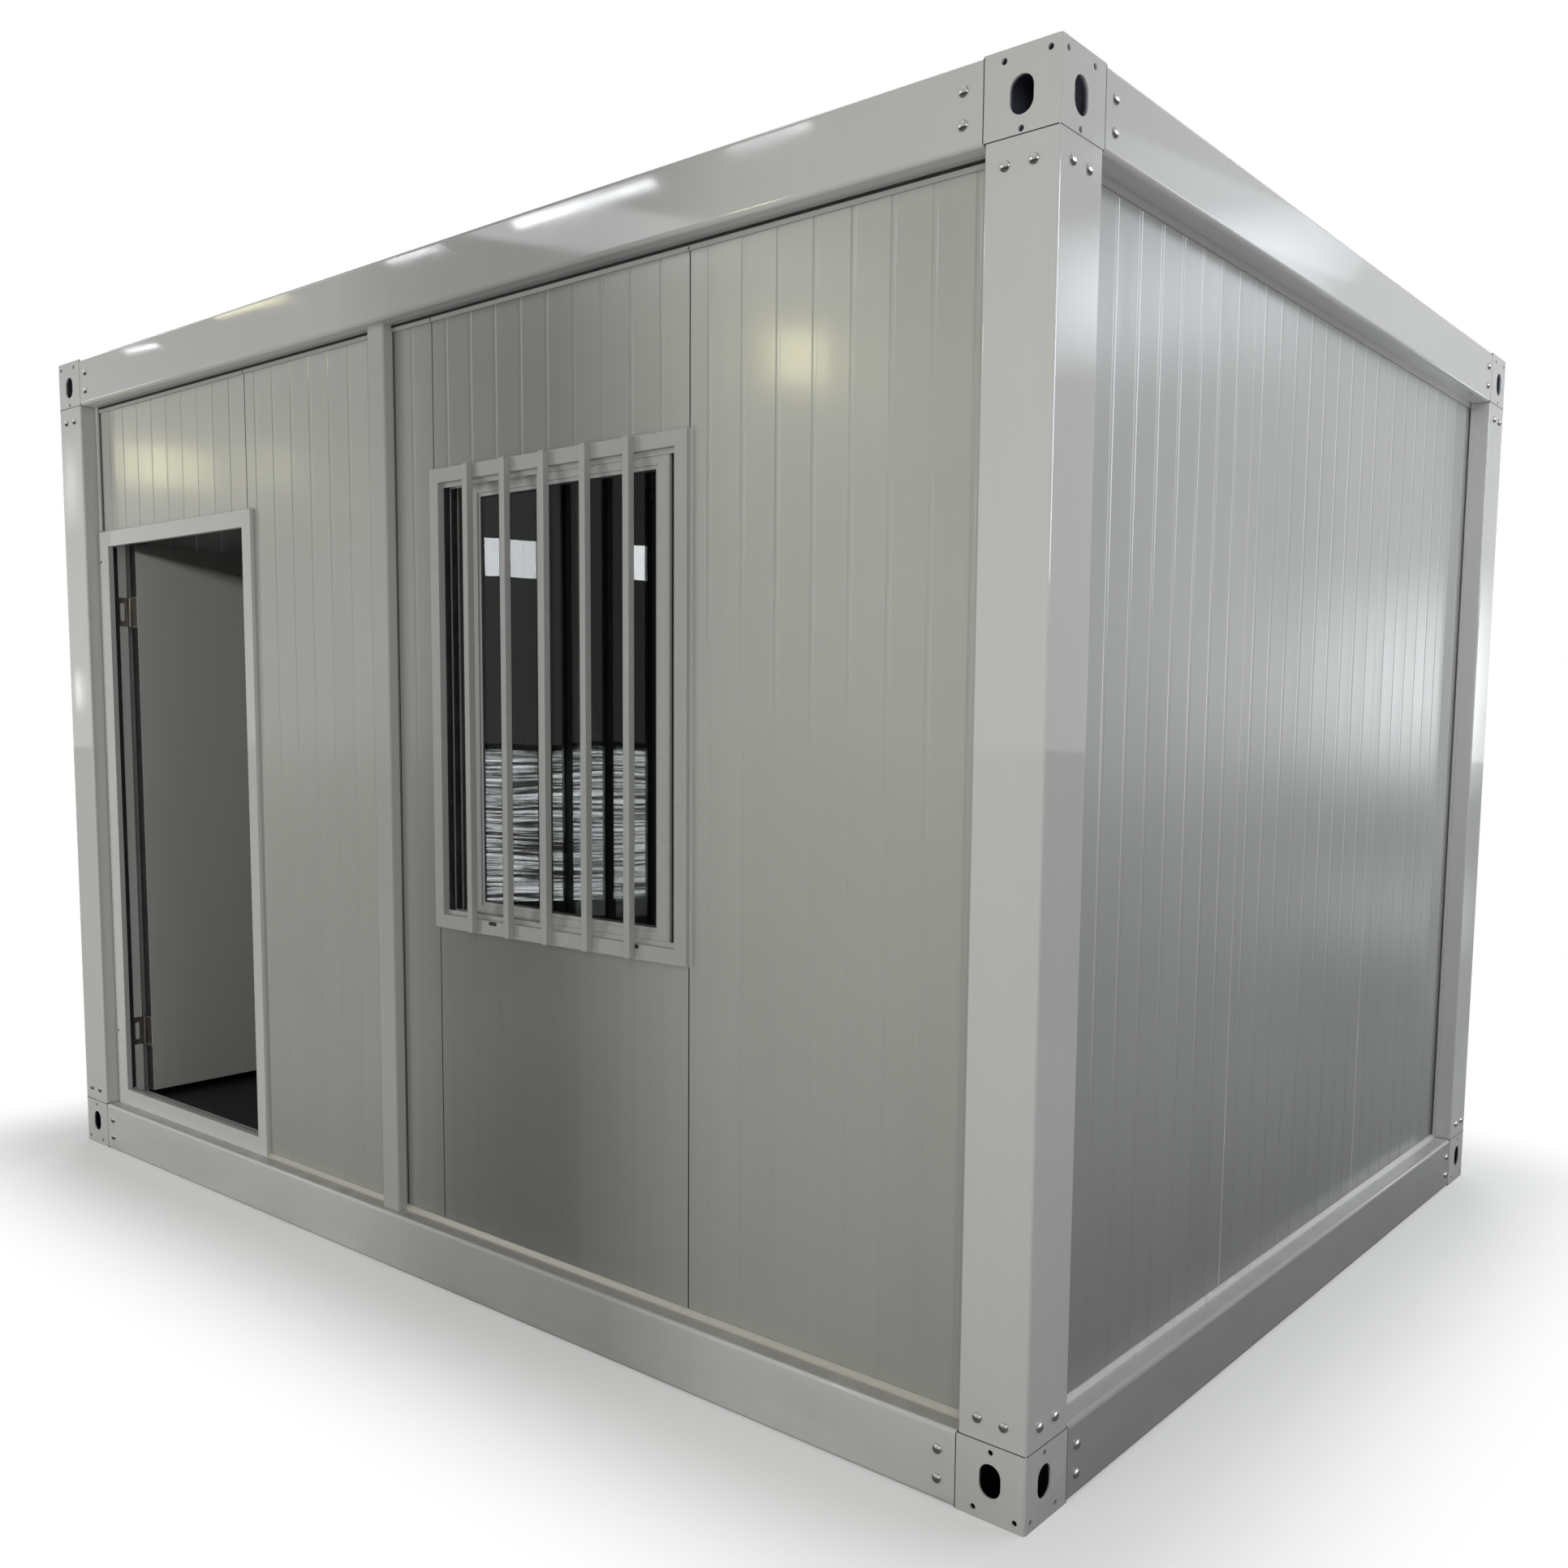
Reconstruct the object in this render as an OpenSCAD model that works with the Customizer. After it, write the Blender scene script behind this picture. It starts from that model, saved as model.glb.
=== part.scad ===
// Modular container house: a flat-pack cabin with a bolted steel frame, ribbed sandwich wall panels,
// a door that opens inwards and a barred sliding window in the long front wall.
// X runs along the front from left to right, -Y is the front and the ground is at Z = 0.

/* [House] */
// Length of the frame along the front
house_l = 4000; // [3900:10:4800]
// Width of the frame from front to back
house_w = 2950; // [2400:10:3200]
// Height from the ground to the top of the roof frame
house_h = 2780; // [2700:10:3100]

/* [Frame] */
// Plan size of a corner fitting
fitting_w = 162; // [160:1:180]
// Plate thickness of a corner fitting
fitting_t = 8; // [6:0.5:12]
// Height of the base rails and base fittings
base_h = 162; // [150:1:180]
// Height of the roof rails and roof fittings
roof_h = 155; // [150:1:180]
// Side of a square corner post
post_w = 158; // [140:1:160]
// Wall of a corner post
post_t = 4; // [3:0.5:5]
// Width of the lips that cover the ends of the wall panels
lip_w = 20; // [12:1:30]
// Depth of a lip's face behind the frame's outer face
lip_d = 48; // [40:1:52]
// Thickness of a lip
lip_t = 6; // [3:0.5:8]
// Sheet thickness of the rails
rail_t = 4; // [3:0.5:6]
// Outer radius of the bent edges of the rails
edge_r = 10; // [7:0.5:14]
// Outer radius of the upright edges of posts and fittings
corner_r = 6; // [5.5:0.5:10]
// Gap left at the bolted joints of the frame
joint_gap = 0.8; // [0.3:0.1:0.9]
// Width of a rail's flange under the wall panels and over them
flange_w = 130; // [124:1:150]
// Width of a base rail's bottom flange
bottom_flange_w = 60; // [40:1:90]

/* [Corner fitting slots] */
// Width of a lifting slot
slot_w = 50; // [40:1:56]
// Height of a lifting slot with its round ends
slot_h = 70; // [62:1:84]
// Middle of a lifting slot above the ground, or below the roof frame's top
slot_up = 85; // [70:1:90]
// Middle of the slots in the long sides from the house's corner
slot_in = 81; // [65:1:90]
// Middle of the slots in the ends from the house's corner
end_slot_in = 72; // [65:1:90]
// Diameter of the small holes round a slot
tag_hole_d = 12; // [8:0.5:16]
// Height of the hole between the slot and the post, from the fitting's outer end
tag_hole_up = 144; // [136:1:148]
// Height of the two holes near the fitting's outer end
tag_hole_low = 20; // [16:1:26]
// Distance of the outer one of these from the house's corner
tag_hole_out = 23; // [18:1:30]
// Distance of the inner one from the house's corner
tag_hole_in = 119; // [105:1:130]

/* [Roof] */
// Width of a roof rail's top flange
roof_flange_w = 60; // [50:1:80]
// Drop from the roof rail's top to the ledge that carries the roof sheet
roof_drop = 30; // [28:1:40]
// Width of that ledge
roof_ledge_w = 35; // [25:1:50]
// Rise of a roof rail's inner flange over its outer underside
head_step = 12; // [6:1:20]
// Thickness of the roof sheet
sheet_t = 3; // [2:0.5:4]
// Height of a roof sheet's ribs
sheet_rib_h = 20; // [12:1:22]
// Spacing of the roof sheet's ribs
sheet_rib_pitch = 250; // [180:10:350]
// Width of a roof sheet rib at its foot
sheet_rib_w = 50; // [40:1:70]
// Thickness of the ceiling panel
ceiling_t = 40; // [20:1:60]

/* [Walls] */
// Depth of the wall panels' outer faces behind the frame's outer faces
wall_recess = 60; // [52:1:66]
// Thickness of the wall panels
panel_t = 50; // [40:1:56]
// Width that one wall panel covers
panel_w = 950; // [900:10:1000]
// Cover of the door frame's right edge over the panel joint at the door
joint_cover = 37; // [20:1:60]
// Place of the first panel joint on the end walls, from the front
end_joint = 1024; // [900:1:1100]
// Spacing of the grooves pressed into the panels' skins
groove_pitch = 100; // [60:1:150]
// First groove from a panel's edge
groove_edge = 60; // [40:1:75]
// Width of a groove
groove_w = 14; // [8:0.5:18]
// Width of the slope at each side of a groove
groove_slope = 2.5; // [1:0.25:4]
// Depth of a groove
groove_d = 0.9; // [0.5:0.1:1.5]
// Slope along the panels' upright edges, measured across the face
panel_bevel = 1.2; // [0.6:0.1:2]
// Depth of that slope
panel_bevel_d = 6; // [3:0.5:10]
// Height of the flashing at the foot of the panels
flashing_h = 12; // [8:1:20]
// Width of the flashing on the ledge
flashing_w = 14; // [10:1:20]
// Height of the trim along the head of the panels
head_trim_h = 18; // [12:1:30]
// Thickness of that trim
head_trim_t = 5; // [3:0.5:6]

/* [Middle post] */
// Distance of the middle post's left side before the panel joint at the window
stud_back = 246; // [150:1:400]
// Width of the middle post
stud_w = 74; // [50:1:90]
// Depth of the middle post in front of the panels
stud_d = 34; // [20:1:44]
// Sheet thickness of the middle post
stud_t = 3; // [2:0.5:5]
// Bend radius of the middle post
stud_r = 5; // [4:0.5:8]
// Gap between the middle post's right side and the panels
stud_slit = 4; // [2:0.5:8]

/* [Floor] */
// Thickness of the floor board
floor_t = 18; // [12:1:24]
// Width of a floor joist
joist_w = 50; // [40:1:80]
// Height of a floor joist
joist_h = 110; // [80:1:130]
// Largest spacing of the floor joists
joist_pitch = 600; // [400:10:800]

/* [Door] */
// Clear width between the door's stops
door_w = 892; // [700:1:900]
// Height of the wall from the door frame's top to the roof frame
over_door = 427; // [300:1:600]
// Gap from the corner post to the door frame
door_gap = 3; // [1:0.5:6]
// Face of the hinge jamb
hinge_jamb_w = 69; // [50:1:90]
// Face of the lock jamb
lock_jamb_w = 49; // [40:1:80]
// Face of the head
head_face = 52; // [45:1:80]
// Height of the sill
sill_h = 56; // [45:1:80]
// Distance of the door and window frames' faces in front of the panels
frame_proud = 15; // [10:1:20]
// Depth of the frame behind the panels' inner faces
frame_back = 2; // [0:0.5:6]
// Width of the stop around the leaf
stop_w = 15; // [12:1:20]
// Depth of the stop from the frame's face
stop_d = 17; // [14:1:22]
// Thickness of the frame's sheet beside and over the leaf
frame_t = 15; // [10:1:20]
// Clearance all round the closed leaf
leaf_gap = 5; // [5:0.5:8]

/* [Hinges] */
// Middle of the lower hinge above the leaf's foot
hinge_foot = 215; // [120:1:300]
// Middle of the upper hinge below the leaf's top
hinge_top = 232; // [120:1:300]
// Height of a hinge
hinge_h = 100; // [80:1:120]
// Depth of a hinge's plates
hinge_plate_w = 36; // [25:1:40]
// Thickness of a hinge's plates
hinge_plate_t = 2.5; // [2:0.5:4]
// Width of the opening in the frame's hinge plate
hinge_slot_w = 16; // [10:1:20]
// Height of that opening
hinge_slot_h = 64; // [40:1:70]
// Diameter of a hinge's knuckle
knuckle_d = 12; // [10:0.5:13]
// Diameter of a hinge's pin
pin_d = 6; // [5:0.5:7]
// Diametral play of a hinge's pin
pin_play = 0.6; // [0.4:0.1:0.8]
// Distance of the hinge pin behind the closed leaf
pin_back = 8; // [7.5:0.5:10]

/* [Handle] */
// Height of the handle above the leaf's foot
handle_up = 872; // [700:1:1000]
// Distance of the handle from the leaf's free edge
handle_in = 60; // [50:1:90]
// Length of the lever
lever_l = 120; // [90:1:140]
// Thickness of the lever
lever_d = 18; // [14:1:22]
// Distance of the lever from the leaf
lever_out = 40; // [35:1:50]
// Width of the handle's plate
plate_w = 42; // [30:1:50]
// Height of the handle's plate
plate_h = 180; // [120:1:220]
// Thickness of the handle's plate
plate_t = 4; // [2:0.5:6]

/* [Window] */
// Height of the window frame's lower edge
window_z = 1000; // [900:1:1050]
// Height of the wall from the window frame's top to the roof frame
over_window = 403; // [300:1:600]
// Overhang of the window frame over the panel joint on its left
window_lap_l = 1; // [0:0.5:10]
// Overhang of the window frame over the panel joint on its right
window_lap_r = 5; // [0:0.5:10]
// Face of the window frame on the left, at the foot and at the head
window_face = 36; // [32:1:50]
// Face of the window frame on the right
window_face_r = 40; // [32:1:50]
// Wall of the frame where it passes through the panel
window_wall = 30; // [24:1:31]
// Height of the ribs of the sash tracks
track_h = 12; // [8:1:16]
// Thickness of the ribs of the sash tracks
track_t = 3; // [2:0.5:4]
// Thickness of a sash
sash_t = 18; // [14:0.5:19]
// Width of a sash
sash_w = 460; // [430:1:520]
// Face of a sash's bars
sash_face = 40; // [30:1:50]
// Width of the bead round the glass, within that face
bead_w = 9; // [6:0.5:14]
// Step from the sash's face back to the bead
bead_step = 4; // [2:0.5:5]
// Distance that the right sash stands from the right side
right_sash_shift = 41; // [0:1:120]
// Distance that the left sash stands from the left side
left_sash_shift = 80; // [0:1:150]
// Thickness of the glass
glass_t = 5; // [4:0.5:8]
// Play of sashes, glass and seated trim
seat_gap = 0.3; // [0.2:0.1:0.5]
// Side of a square security bar
bar_w = 20; // [16:1:24]
// Rounding of a security bar's edges
bar_r = 2; // [1:0.5:4]
// Spacing of the security bars
bar_pitch = 150; // [100:1:170]
// Number of security bars
bar_count = 5; // [2:1:5]
// Distance of the bars' ends from the window frame's edges
bar_in = 2; // [0:0.5:20]

/* [Hidden] */
// Underside of the roof frame, where the posts end
roof_z = house_h - roof_h;
// Top of the wall panels
wall_top = roof_z + head_step - seat_gap;
// Foot of the wall panels
wall_foot = base_h;
// Start of the wall panels beside a corner
wall_start = fitting_w + 2 * joint_gap;
// Depth of the panels' inner faces
wall_inner = wall_recess + panel_t;
// Depth of the door and window frames' faces
frame_front = wall_recess - frame_proud;
// Depth of the door frame's back
frame_rear = wall_inner + frame_back;
// Depth of the back of the door's stops
stop_back = frame_front + stop_d;
// Back of the flanges that lap over the panels' outer faces
lap_back = wall_recess - seat_gap;
// Reach of a roof rail's outer underside
underside_w = wall_recess - 3 * joint_gap;
// Small overlap used when cutting
cut = 1;
// Door frame: left edge, stops, rebates and right edge
door_left = post_w + door_gap;
door_stop_l = door_left + hinge_jamb_w;
door_stop_r = door_stop_l + door_w;
door_right = door_stop_r + lock_jamb_w;
rebate_l = door_stop_l - stop_w;
rebate_r = door_stop_r + stop_w;
sill_top = base_h + sill_h;
door_top = roof_z - over_door;
head_low = door_top - head_face;
rebate_top = head_low + stop_w;
rebate_low = sill_top - stop_w;
frame_body_r = rebate_r + frame_t;
frame_body_top = rebate_top + frame_t;
// Door leaf when closed
leaf_x0 = rebate_l + leaf_gap;
leaf_x1 = rebate_r - leaf_gap;
leaf_z0 = rebate_low + leaf_gap;
leaf_z1 = rebate_top - leaf_gap;
handle_z = leaf_z0 + handle_up;
leaf_front = stop_back + leaf_gap;
leaf_back = frame_rear;
// Heights of the hinges' middles
hinge_low = leaf_z0 + hinge_foot;
hinge_high = leaf_z1 - hinge_top;
// Hinge axis
pin_x = rebate_l + leaf_gap / 2;
pin_y = leaf_back + pin_back;
// Angle at which the leaf stands open
open_angle = 90;
// Panel joints of the long walls
long_joint = door_right - joint_cover;
joint_2 = long_joint + panel_w;
joint_3 = joint_2 + panel_w;
// Left side of the middle post
stud_x = joint_2 - stud_back;
// Window frame: outer edges, clear opening
window_x0 = joint_2 - window_lap_l;
window_x1 = joint_3 + window_lap_r;
window_z1 = roof_z - over_window;
window_h = window_z1 - window_z;
clear_x0 = window_x0 + window_face;
clear_x1 = window_x1 - window_face_r;
clear_z0 = window_z + window_face;
clear_z1 = window_z1 - window_face;
body_x0 = clear_x0 - window_wall;
body_x1 = clear_x1 + window_wall;
body_z0 = clear_z0 - window_wall;
body_z1 = clear_z1 + window_wall;
window_rear = frame_rear;
// Sash tracks: depth of the outer sash and of the inner one
track_step = sash_t + track_t + 2 * cut;
outer_sash_y = wall_recess + track_t + cut;
inner_sash_y = outer_sash_y + track_step;
// Left edges of the sashes
left_sash_x = clear_x0 + left_sash_shift;
right_sash_x = clear_x1 - right_sash_shift - sash_w;

frame_paint = [0.72, 0.72, 0.70];
panel_paint = [0.66, 0.67, 0.65];
trim_white = [0.86, 0.86, 0.85];
zinc = [0.60, 0.61, 0.62];
leaf_grey = [0.55, 0.55, 0.54];
floor_black = [0.08, 0.08, 0.09];
sash_white = [0.74, 0.74, 0.72];
glass_tint = [0.35, 0.42, 0.42, 0.5];

// Places on the walls: X runs along the wall, Y goes in from the frame's outer face.
module on_front() {
    translate([-house_l / 2, -house_w / 2, 0]) children();
}

module on_back() {
    mirror([0, 1, 0]) on_front() children();
}

module on_right() {
    translate([house_l / 2, -house_w / 2, 0]) rotate([0, 0, 90]) children();
}

module on_left() {
    mirror([1, 0, 0]) on_right() children();
}

// A corner piece is drawn at the front left corner with its outer faces on X = 0 and Y = 0.
module at_front_left() {
    on_front() children();
}

module at_front_right() {
    mirror([1, 0, 0]) on_front() children();
}

module at_back_left() {
    mirror([0, 1, 0]) on_front() children();
}

module at_back_right() {
    mirror([0, 1, 0]) mirror([1, 0, 0]) on_front() children();
}

// What is left of a square corner of side r outside a quarter circle, to be cut away.
module corner_waste(r) {
    difference() {
        translate([-cut, -cut]) square(r + cut);
        translate([r, r]) circle(r, $fn = 48);
    }
}

// A rectangle whose two corners on the Y axis are rounded.
module bent_rectangle(w, h, r) {
    difference() {
        square([w, h]);
        corner_waste(r);
        translate([0, h]) mirror([0, 1]) corner_waste(r);
    }
}

// A square with four round corners.
module round_square(w, h, r) {
    translate([r, 0]) square([w - 2 * r, h]);
    translate([0, r]) square([w, h - 2 * r]);
    for (x = [r, w - r], y = [r, h - r]) {
        translate([x, y]) circle(r, $fn = 48);
    }
}

// A bent channel, open on its inner side.
module channel(w, h, t) {
    difference() {
        bent_rectangle(w, h, edge_r);
        translate([t, t]) bent_rectangle(w, h - 2 * t, edge_r - t);
    }
}

// Carries a section drawn as depth and height along a wall.
module along(start, end) {
    translate([start, 0, 0]) rotate([90, 0, 90]) linear_extrude(end - start) children();
}

module base_rail(wall_l) {
    color(frame_paint) along(fitting_w + joint_gap, wall_l - fitting_w - joint_gap) difference() {
        channel(flange_w, base_h, rail_t);
        translate([bottom_flange_w, -cut]) square([flange_w, rail_t + 2 * cut]);
    }
}

module roof_rail_section() {
    difference() {
        channel(flange_w, roof_h, rail_t);
        translate([underside_w, -cut]) square([flange_w, rail_t + 2 * cut]);
        translate([roof_flange_w, roof_h - rail_t - cut]) square([flange_w, rail_t + 2 * cut]);
    }
    // Riser and inner flange over the wall panels
    translate([underside_w - rail_t, 0]) square([rail_t, head_step + rail_t]);
    translate([underside_w - rail_t, head_step]) square([flange_w - underside_w + rail_t, rail_t]);
    // Drop and ledge that carry the roof sheet
    translate([roof_flange_w - rail_t, roof_h - roof_drop - rail_t]) square([rail_t, roof_drop + rail_t]);
    translate([roof_flange_w - rail_t, roof_h - roof_drop - rail_t]) square([roof_ledge_w + rail_t, rail_t]);
}

module roof_rail(wall_l) {
    color(frame_paint) translate([0, 0, roof_z]) along(fitting_w + joint_gap, wall_l - fitting_w - joint_gap)
        roof_rail_section();
}

// Plan of a post or fitting, with its outer upright edge rounded.
module corner_plan(w, r) {
    difference() {
        square(w);
        corner_waste(r);
    }
}

module slot_cut(w, h, depth) {
    for (z = [-1, 1]) {
        translate([0, 0, z * (h - w) / 2]) rotate([-90, 0, 0]) cylinder(d = w, h = depth, $fn = 48);
    }
    translate([-w / 2, 0, -(h - w) / 2]) cube([w, depth, h - w]);
}

// The lifting slot and the small holes of a face, where X is the distance from the house's corner.
module face_cuts(slot_x) {
    depth = fitting_t + 2 * cut;
    translate([slot_x, -cut, slot_up]) slot_cut(slot_w, slot_h, depth);
    for (spot = [[slot_x, tag_hole_up], [tag_hole_in, tag_hole_low], [tag_hole_out, tag_hole_low]]) {
        translate([spot[0], -cut, spot[1]]) rotate([-90, 0, 0]) cylinder(d = tag_hole_d, h = depth, $fn = 32);
    }
}

// A hollow corner fitting that stands on its outer end.
module corner_fitting(h) {
    difference() {
        linear_extrude(h) corner_plan(fitting_w, corner_r);
        translate([fitting_t, fitting_t, fitting_t])
            cube([fitting_w - 2 * fitting_t, fitting_w - 2 * fitting_t, h - 2 * fitting_t]);
        face_cuts(slot_in);
        mirror([1, -1, 0]) face_cuts(end_slot_in);
    }
}

module base_corner() {
    color(frame_paint) corner_fitting(base_h - joint_gap);
}

module roof_corner() {
    color(frame_paint) translate([0, 0, house_h]) mirror([0, 0, 1]) corner_fitting(roof_h - joint_gap);
}

module post_lip() {
    translate([post_w - post_t, lip_d]) square([post_t + lip_w, lip_t]);
}

// A square tube with a lip along the wall on each of its two inner sides.
module corner_post() {
    color(frame_paint) translate([0, 0, base_h]) linear_extrude(roof_z - base_h) difference() {
        union() {
            round_square(post_w, post_w, corner_r);
            post_lip();
            mirror([1, -1]) post_lip();
        }
        translate([post_t, post_t]) round_square(post_w - 2 * post_t, post_w - 2 * post_t, corner_r - post_t);
    }
}

// The lip beside the door ends above the door frame.
module door_post() {
    difference() {
        corner_post();
        translate([post_w, lip_d - cut, base_h - cut])
            cube([lip_w + cut, lip_t + 2 * cut, door_top + door_gap - base_h + cut]);
    }
}

// One sandwich panel between two places along a wall, with bevelled edges and grooves that start
// from the left edge of the full panel it is cut from.
module wall_panel(start, end, module_start, low, high) {
    x0 = start + joint_gap / 2;
    x1 = end - joint_gap / 2;
    first = module_start + groove_edge;
    color(panel_paint) translate([0, 0, low]) linear_extrude(high - low) difference() {
        polygon([[x0 + panel_bevel, wall_recess], [x1 - panel_bevel, wall_recess],
            [x1, wall_recess + panel_bevel_d], [x1, wall_inner - panel_bevel_d],
            [x1 - panel_bevel, wall_inner], [x0 + panel_bevel, wall_inner],
            [x0, wall_inner - panel_bevel_d], [x0, wall_recess + panel_bevel_d]]);
        for (x = [first : groove_pitch : module_start + panel_w - groove_edge / 2]) {
            if (x > x0 + groove_w && x < x1 - groove_w) {
                translate([x, wall_recess]) groove();
                translate([x, wall_inner]) mirror([0, 1]) groove();
            }
        }
    }
}

// A flat-bottomed groove with sloped sides.
module groove() {
    half = groove_w / 2;
    bottom = half - groove_slope;
    polygon([[-half, -cut], [half, -cut], [half, 0], [bottom, groove_d], [-bottom, groove_d], [-half, 0]]);
}

// A whole wall of panels with joints every panel width.
module panel_wall(wall_l, first_joint) {
    wall_end = wall_l - wall_start;
    for (joint = [first_joint - panel_w : panel_w : wall_end]) {
        start = joint < first_joint ? wall_start : joint;
        wall_panel(start, min(joint + panel_w, wall_end), joint, wall_foot, wall_top);
    }
}

module front_panel_over_door() {
    wall_panel(wall_start, long_joint, long_joint - panel_w, frame_body_top + seat_gap, wall_top);
}

module front_panel_beside_door() {
    difference() {
        wall_panel(long_joint, joint_2, long_joint, wall_foot, wall_top);
        // Notch for the door frame
        translate([long_joint - cut, wall_recess - cut, wall_foot - cut])
            cube([frame_body_r + seat_gap - long_joint + cut, panel_t + 2 * cut,
                frame_body_top + seat_gap - wall_foot + cut]);
    }
}

module front_panel_over_window() {
    wall_panel(joint_2, joint_3, joint_2, body_z1 + seat_gap, wall_top);
}

module front_panel_under_window() {
    wall_panel(joint_2, joint_3, joint_2, wall_foot, body_z0 - seat_gap);
}

module front_panel_right() {
    wall_panel(joint_3, house_l - wall_start, joint_3, wall_foot, wall_top);
}

// A hat-shaped post in front of the panels, between the base rail's ledge and the roof rail.
module middle_post() {
    color(frame_paint) translate([stud_x, lap_back - stud_d, base_h]) linear_extrude(roof_z - base_h)
        difference() {
            rotate([0, 0, 90]) mirror([0, 1]) bent_rectangle(stud_d, stud_w, stud_r);
            translate([stud_t, stud_t]) rotate([0, 0, 90]) mirror([0, 1])
                bent_rectangle(stud_d, stud_w - 2 * stud_t, stud_r - stud_t);
            translate([stud_w - stud_t - cut, stud_d - stud_slit])
                square([stud_t + 2 * cut, stud_slit + cut]);
        }
}

// A sloped strip on the ledge at the foot of the panels.
module flashing(start, end) {
    color(trim_white) translate([0, 0, base_h]) along(start, end)
        polygon([[lap_back - flashing_w, 0], [lap_back, 0], [lap_back, flashing_h],
            [lap_back - flashing_w / 4, flashing_h], [lap_back - flashing_w, flashing_h / 3]]);
}

module foot_flashing() {
    start = post_w + lip_w + joint_gap;
    on_front() {
        flashing(door_right + joint_gap, stud_x - joint_gap);
        flashing(stud_x + stud_w + joint_gap, house_l - start);
    }
    on_back() flashing(start, house_l - start);
    on_left() flashing(start, house_w - start);
    on_right() flashing(start, house_w - start);
}

// A strip on the panels under the roof rail.
module head_strip(start, end) {
    color(frame_paint) translate([0, 0, roof_z - seat_gap - head_trim_h]) along(start, end)
        translate([lap_back - head_trim_t, 0]) square([head_trim_t, head_trim_h]);
}

module head_trim() {
    start = post_w + lip_w + joint_gap;
    on_front() {
        head_strip(start, stud_x - joint_gap);
        head_strip(stud_x + stud_w + joint_gap, house_l - start);
    }
    on_back() head_strip(start, house_l - start);
    on_left() head_strip(start, house_w - start);
    on_right() head_strip(start, house_w - start);
}

// A board inside the walls with its corners cut out round the posts or fittings.
module notched_board(inset, notch, low, t) {
    translate([0, 0, low]) linear_extrude(t) difference() {
        square([house_l - 2 * inset, house_w - 2 * inset], center = true);
        for (x = [-1, 1], y = [-1, 1]) {
            translate([x * house_l / 2, y * house_w / 2]) square(2 * notch, center = true);
        }
    }
}

module floor_board() {
    color(floor_black) notched_board(frame_rear + joint_gap, fitting_w, base_h, floor_t);
}

module floor_joists() {
    span = house_l - 2 * (fitting_w + joint_gap) - joist_w;
    count = ceil(span / joist_pitch);
    length = house_w - 2 * (flange_w + seat_gap);
    color(zinc) for (i = [0 : count]) {
        translate([-span / 2 + i * span / count - joist_w / 2, -length / 2, base_h - joist_h])
            cube([joist_w, length, joist_h]);
    }
}

module ceiling_panel() {
    color(panel_paint)
        notched_board(wall_inner, fitting_w + joint_gap, roof_z + head_step + rail_t, ceiling_t);
}

module sheet_section(w) {
    count = floor((w - 2 * sheet_rib_w) / sheet_rib_pitch);
    translate([-w / 2, 0]) square([w, sheet_t]);
    for (i = [0 : count]) {
        translate([(i - count / 2) * sheet_rib_pitch, 0])
            polygon([[-sheet_rib_w / 2, 0], [sheet_rib_w / 2, 0], [sheet_rib_w / 4, sheet_t + sheet_rib_h],
                [-sheet_rib_w / 4, sheet_t + sheet_rib_h]]);
    }
}

// Ribbed roof sheet that lies on the ledges of the roof rails.
module roof_sheet() {
    inset = roof_flange_w + joint_gap;
    l = house_l - 2 * inset;
    w = house_w - 2 * inset;
    notch = fitting_w + joint_gap;
    color(frame_paint) translate([0, 0, house_h - roof_drop]) difference() {
        translate([0, w / 2, 0]) rotate([90, 0, 0]) linear_extrude(w) sheet_section(l);
        for (x = [-1, 1], y = [-1, 1]) {
            translate([x * house_l / 2, y * house_w / 2, sheet_rib_h / 2])
                cube([2 * notch, 2 * notch, 4 * sheet_rib_h], center = true);
        }
    }
}

// A face in the plane of the wall, drawn as X and height, that laps over the panels.
module lapped_face() {
    translate([0, lap_back, 0]) rotate([90, 0, 0]) linear_extrude(lap_back - frame_front) children();
}

// The faces of the door frame are mitred at the top corners, and its rebates reach through the wall.
module door_jamb_hinge() {
    color(frame_paint) difference() {
        union() {
            lapped_face() polygon([[door_left, base_h], [door_stop_l, base_h], [door_stop_l, head_low],
                [door_left, door_top]]);
            translate([0, 0, base_h]) linear_extrude(head_low - base_h)
                polygon([[door_left, frame_front], [door_stop_l, frame_front], [door_stop_l, stop_back],
                    [rebate_l, stop_back], [rebate_l, frame_rear], [door_left, frame_rear]]);
            translate([door_left, stop_back, base_h])
                cube([rebate_l - door_left, frame_rear - stop_back, frame_body_top - base_h]);
        }
        translate([rebate_l - hinge_plate_t - seat_gap, 0, 0]) hinge_pockets();
    }
}

module door_jamb_lock() {
    color(frame_paint) {
        lapped_face() polygon([[door_stop_r, base_h], [door_right, base_h], [door_right, door_top],
            [door_stop_r, head_low]]);
        translate([0, 0, base_h]) linear_extrude(head_low - base_h)
            polygon([[door_stop_r, frame_front], [frame_body_r, frame_front], [frame_body_r, frame_rear],
                [rebate_r, frame_rear], [rebate_r, stop_back], [door_stop_r, stop_back]]);
        translate([rebate_r, stop_back, base_h])
            cube([frame_t, frame_rear - stop_back, frame_body_top - base_h]);
    }
}

// The head's stop reaches from stop to stop, and its rebate from jamb to jamb.
module door_head() {
    gap = joint_gap / 2;
    color(frame_paint) {
        lapped_face() polygon([[door_stop_l + gap, head_low], [door_stop_r - gap, head_low],
            [door_right - gap, door_top], [door_left + gap, door_top]]);
        along(door_stop_l + gap, door_stop_r - gap)
            polygon([[frame_front, head_low], [stop_back, head_low], [stop_back, rebate_top],
                [frame_rear, rebate_top], [frame_rear, frame_body_top], [frame_front, frame_body_top]]);
        along(rebate_l + gap, rebate_r - gap)
            translate([stop_back, rebate_top]) square([frame_rear - stop_back, frame_t]);
    }
}

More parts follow.
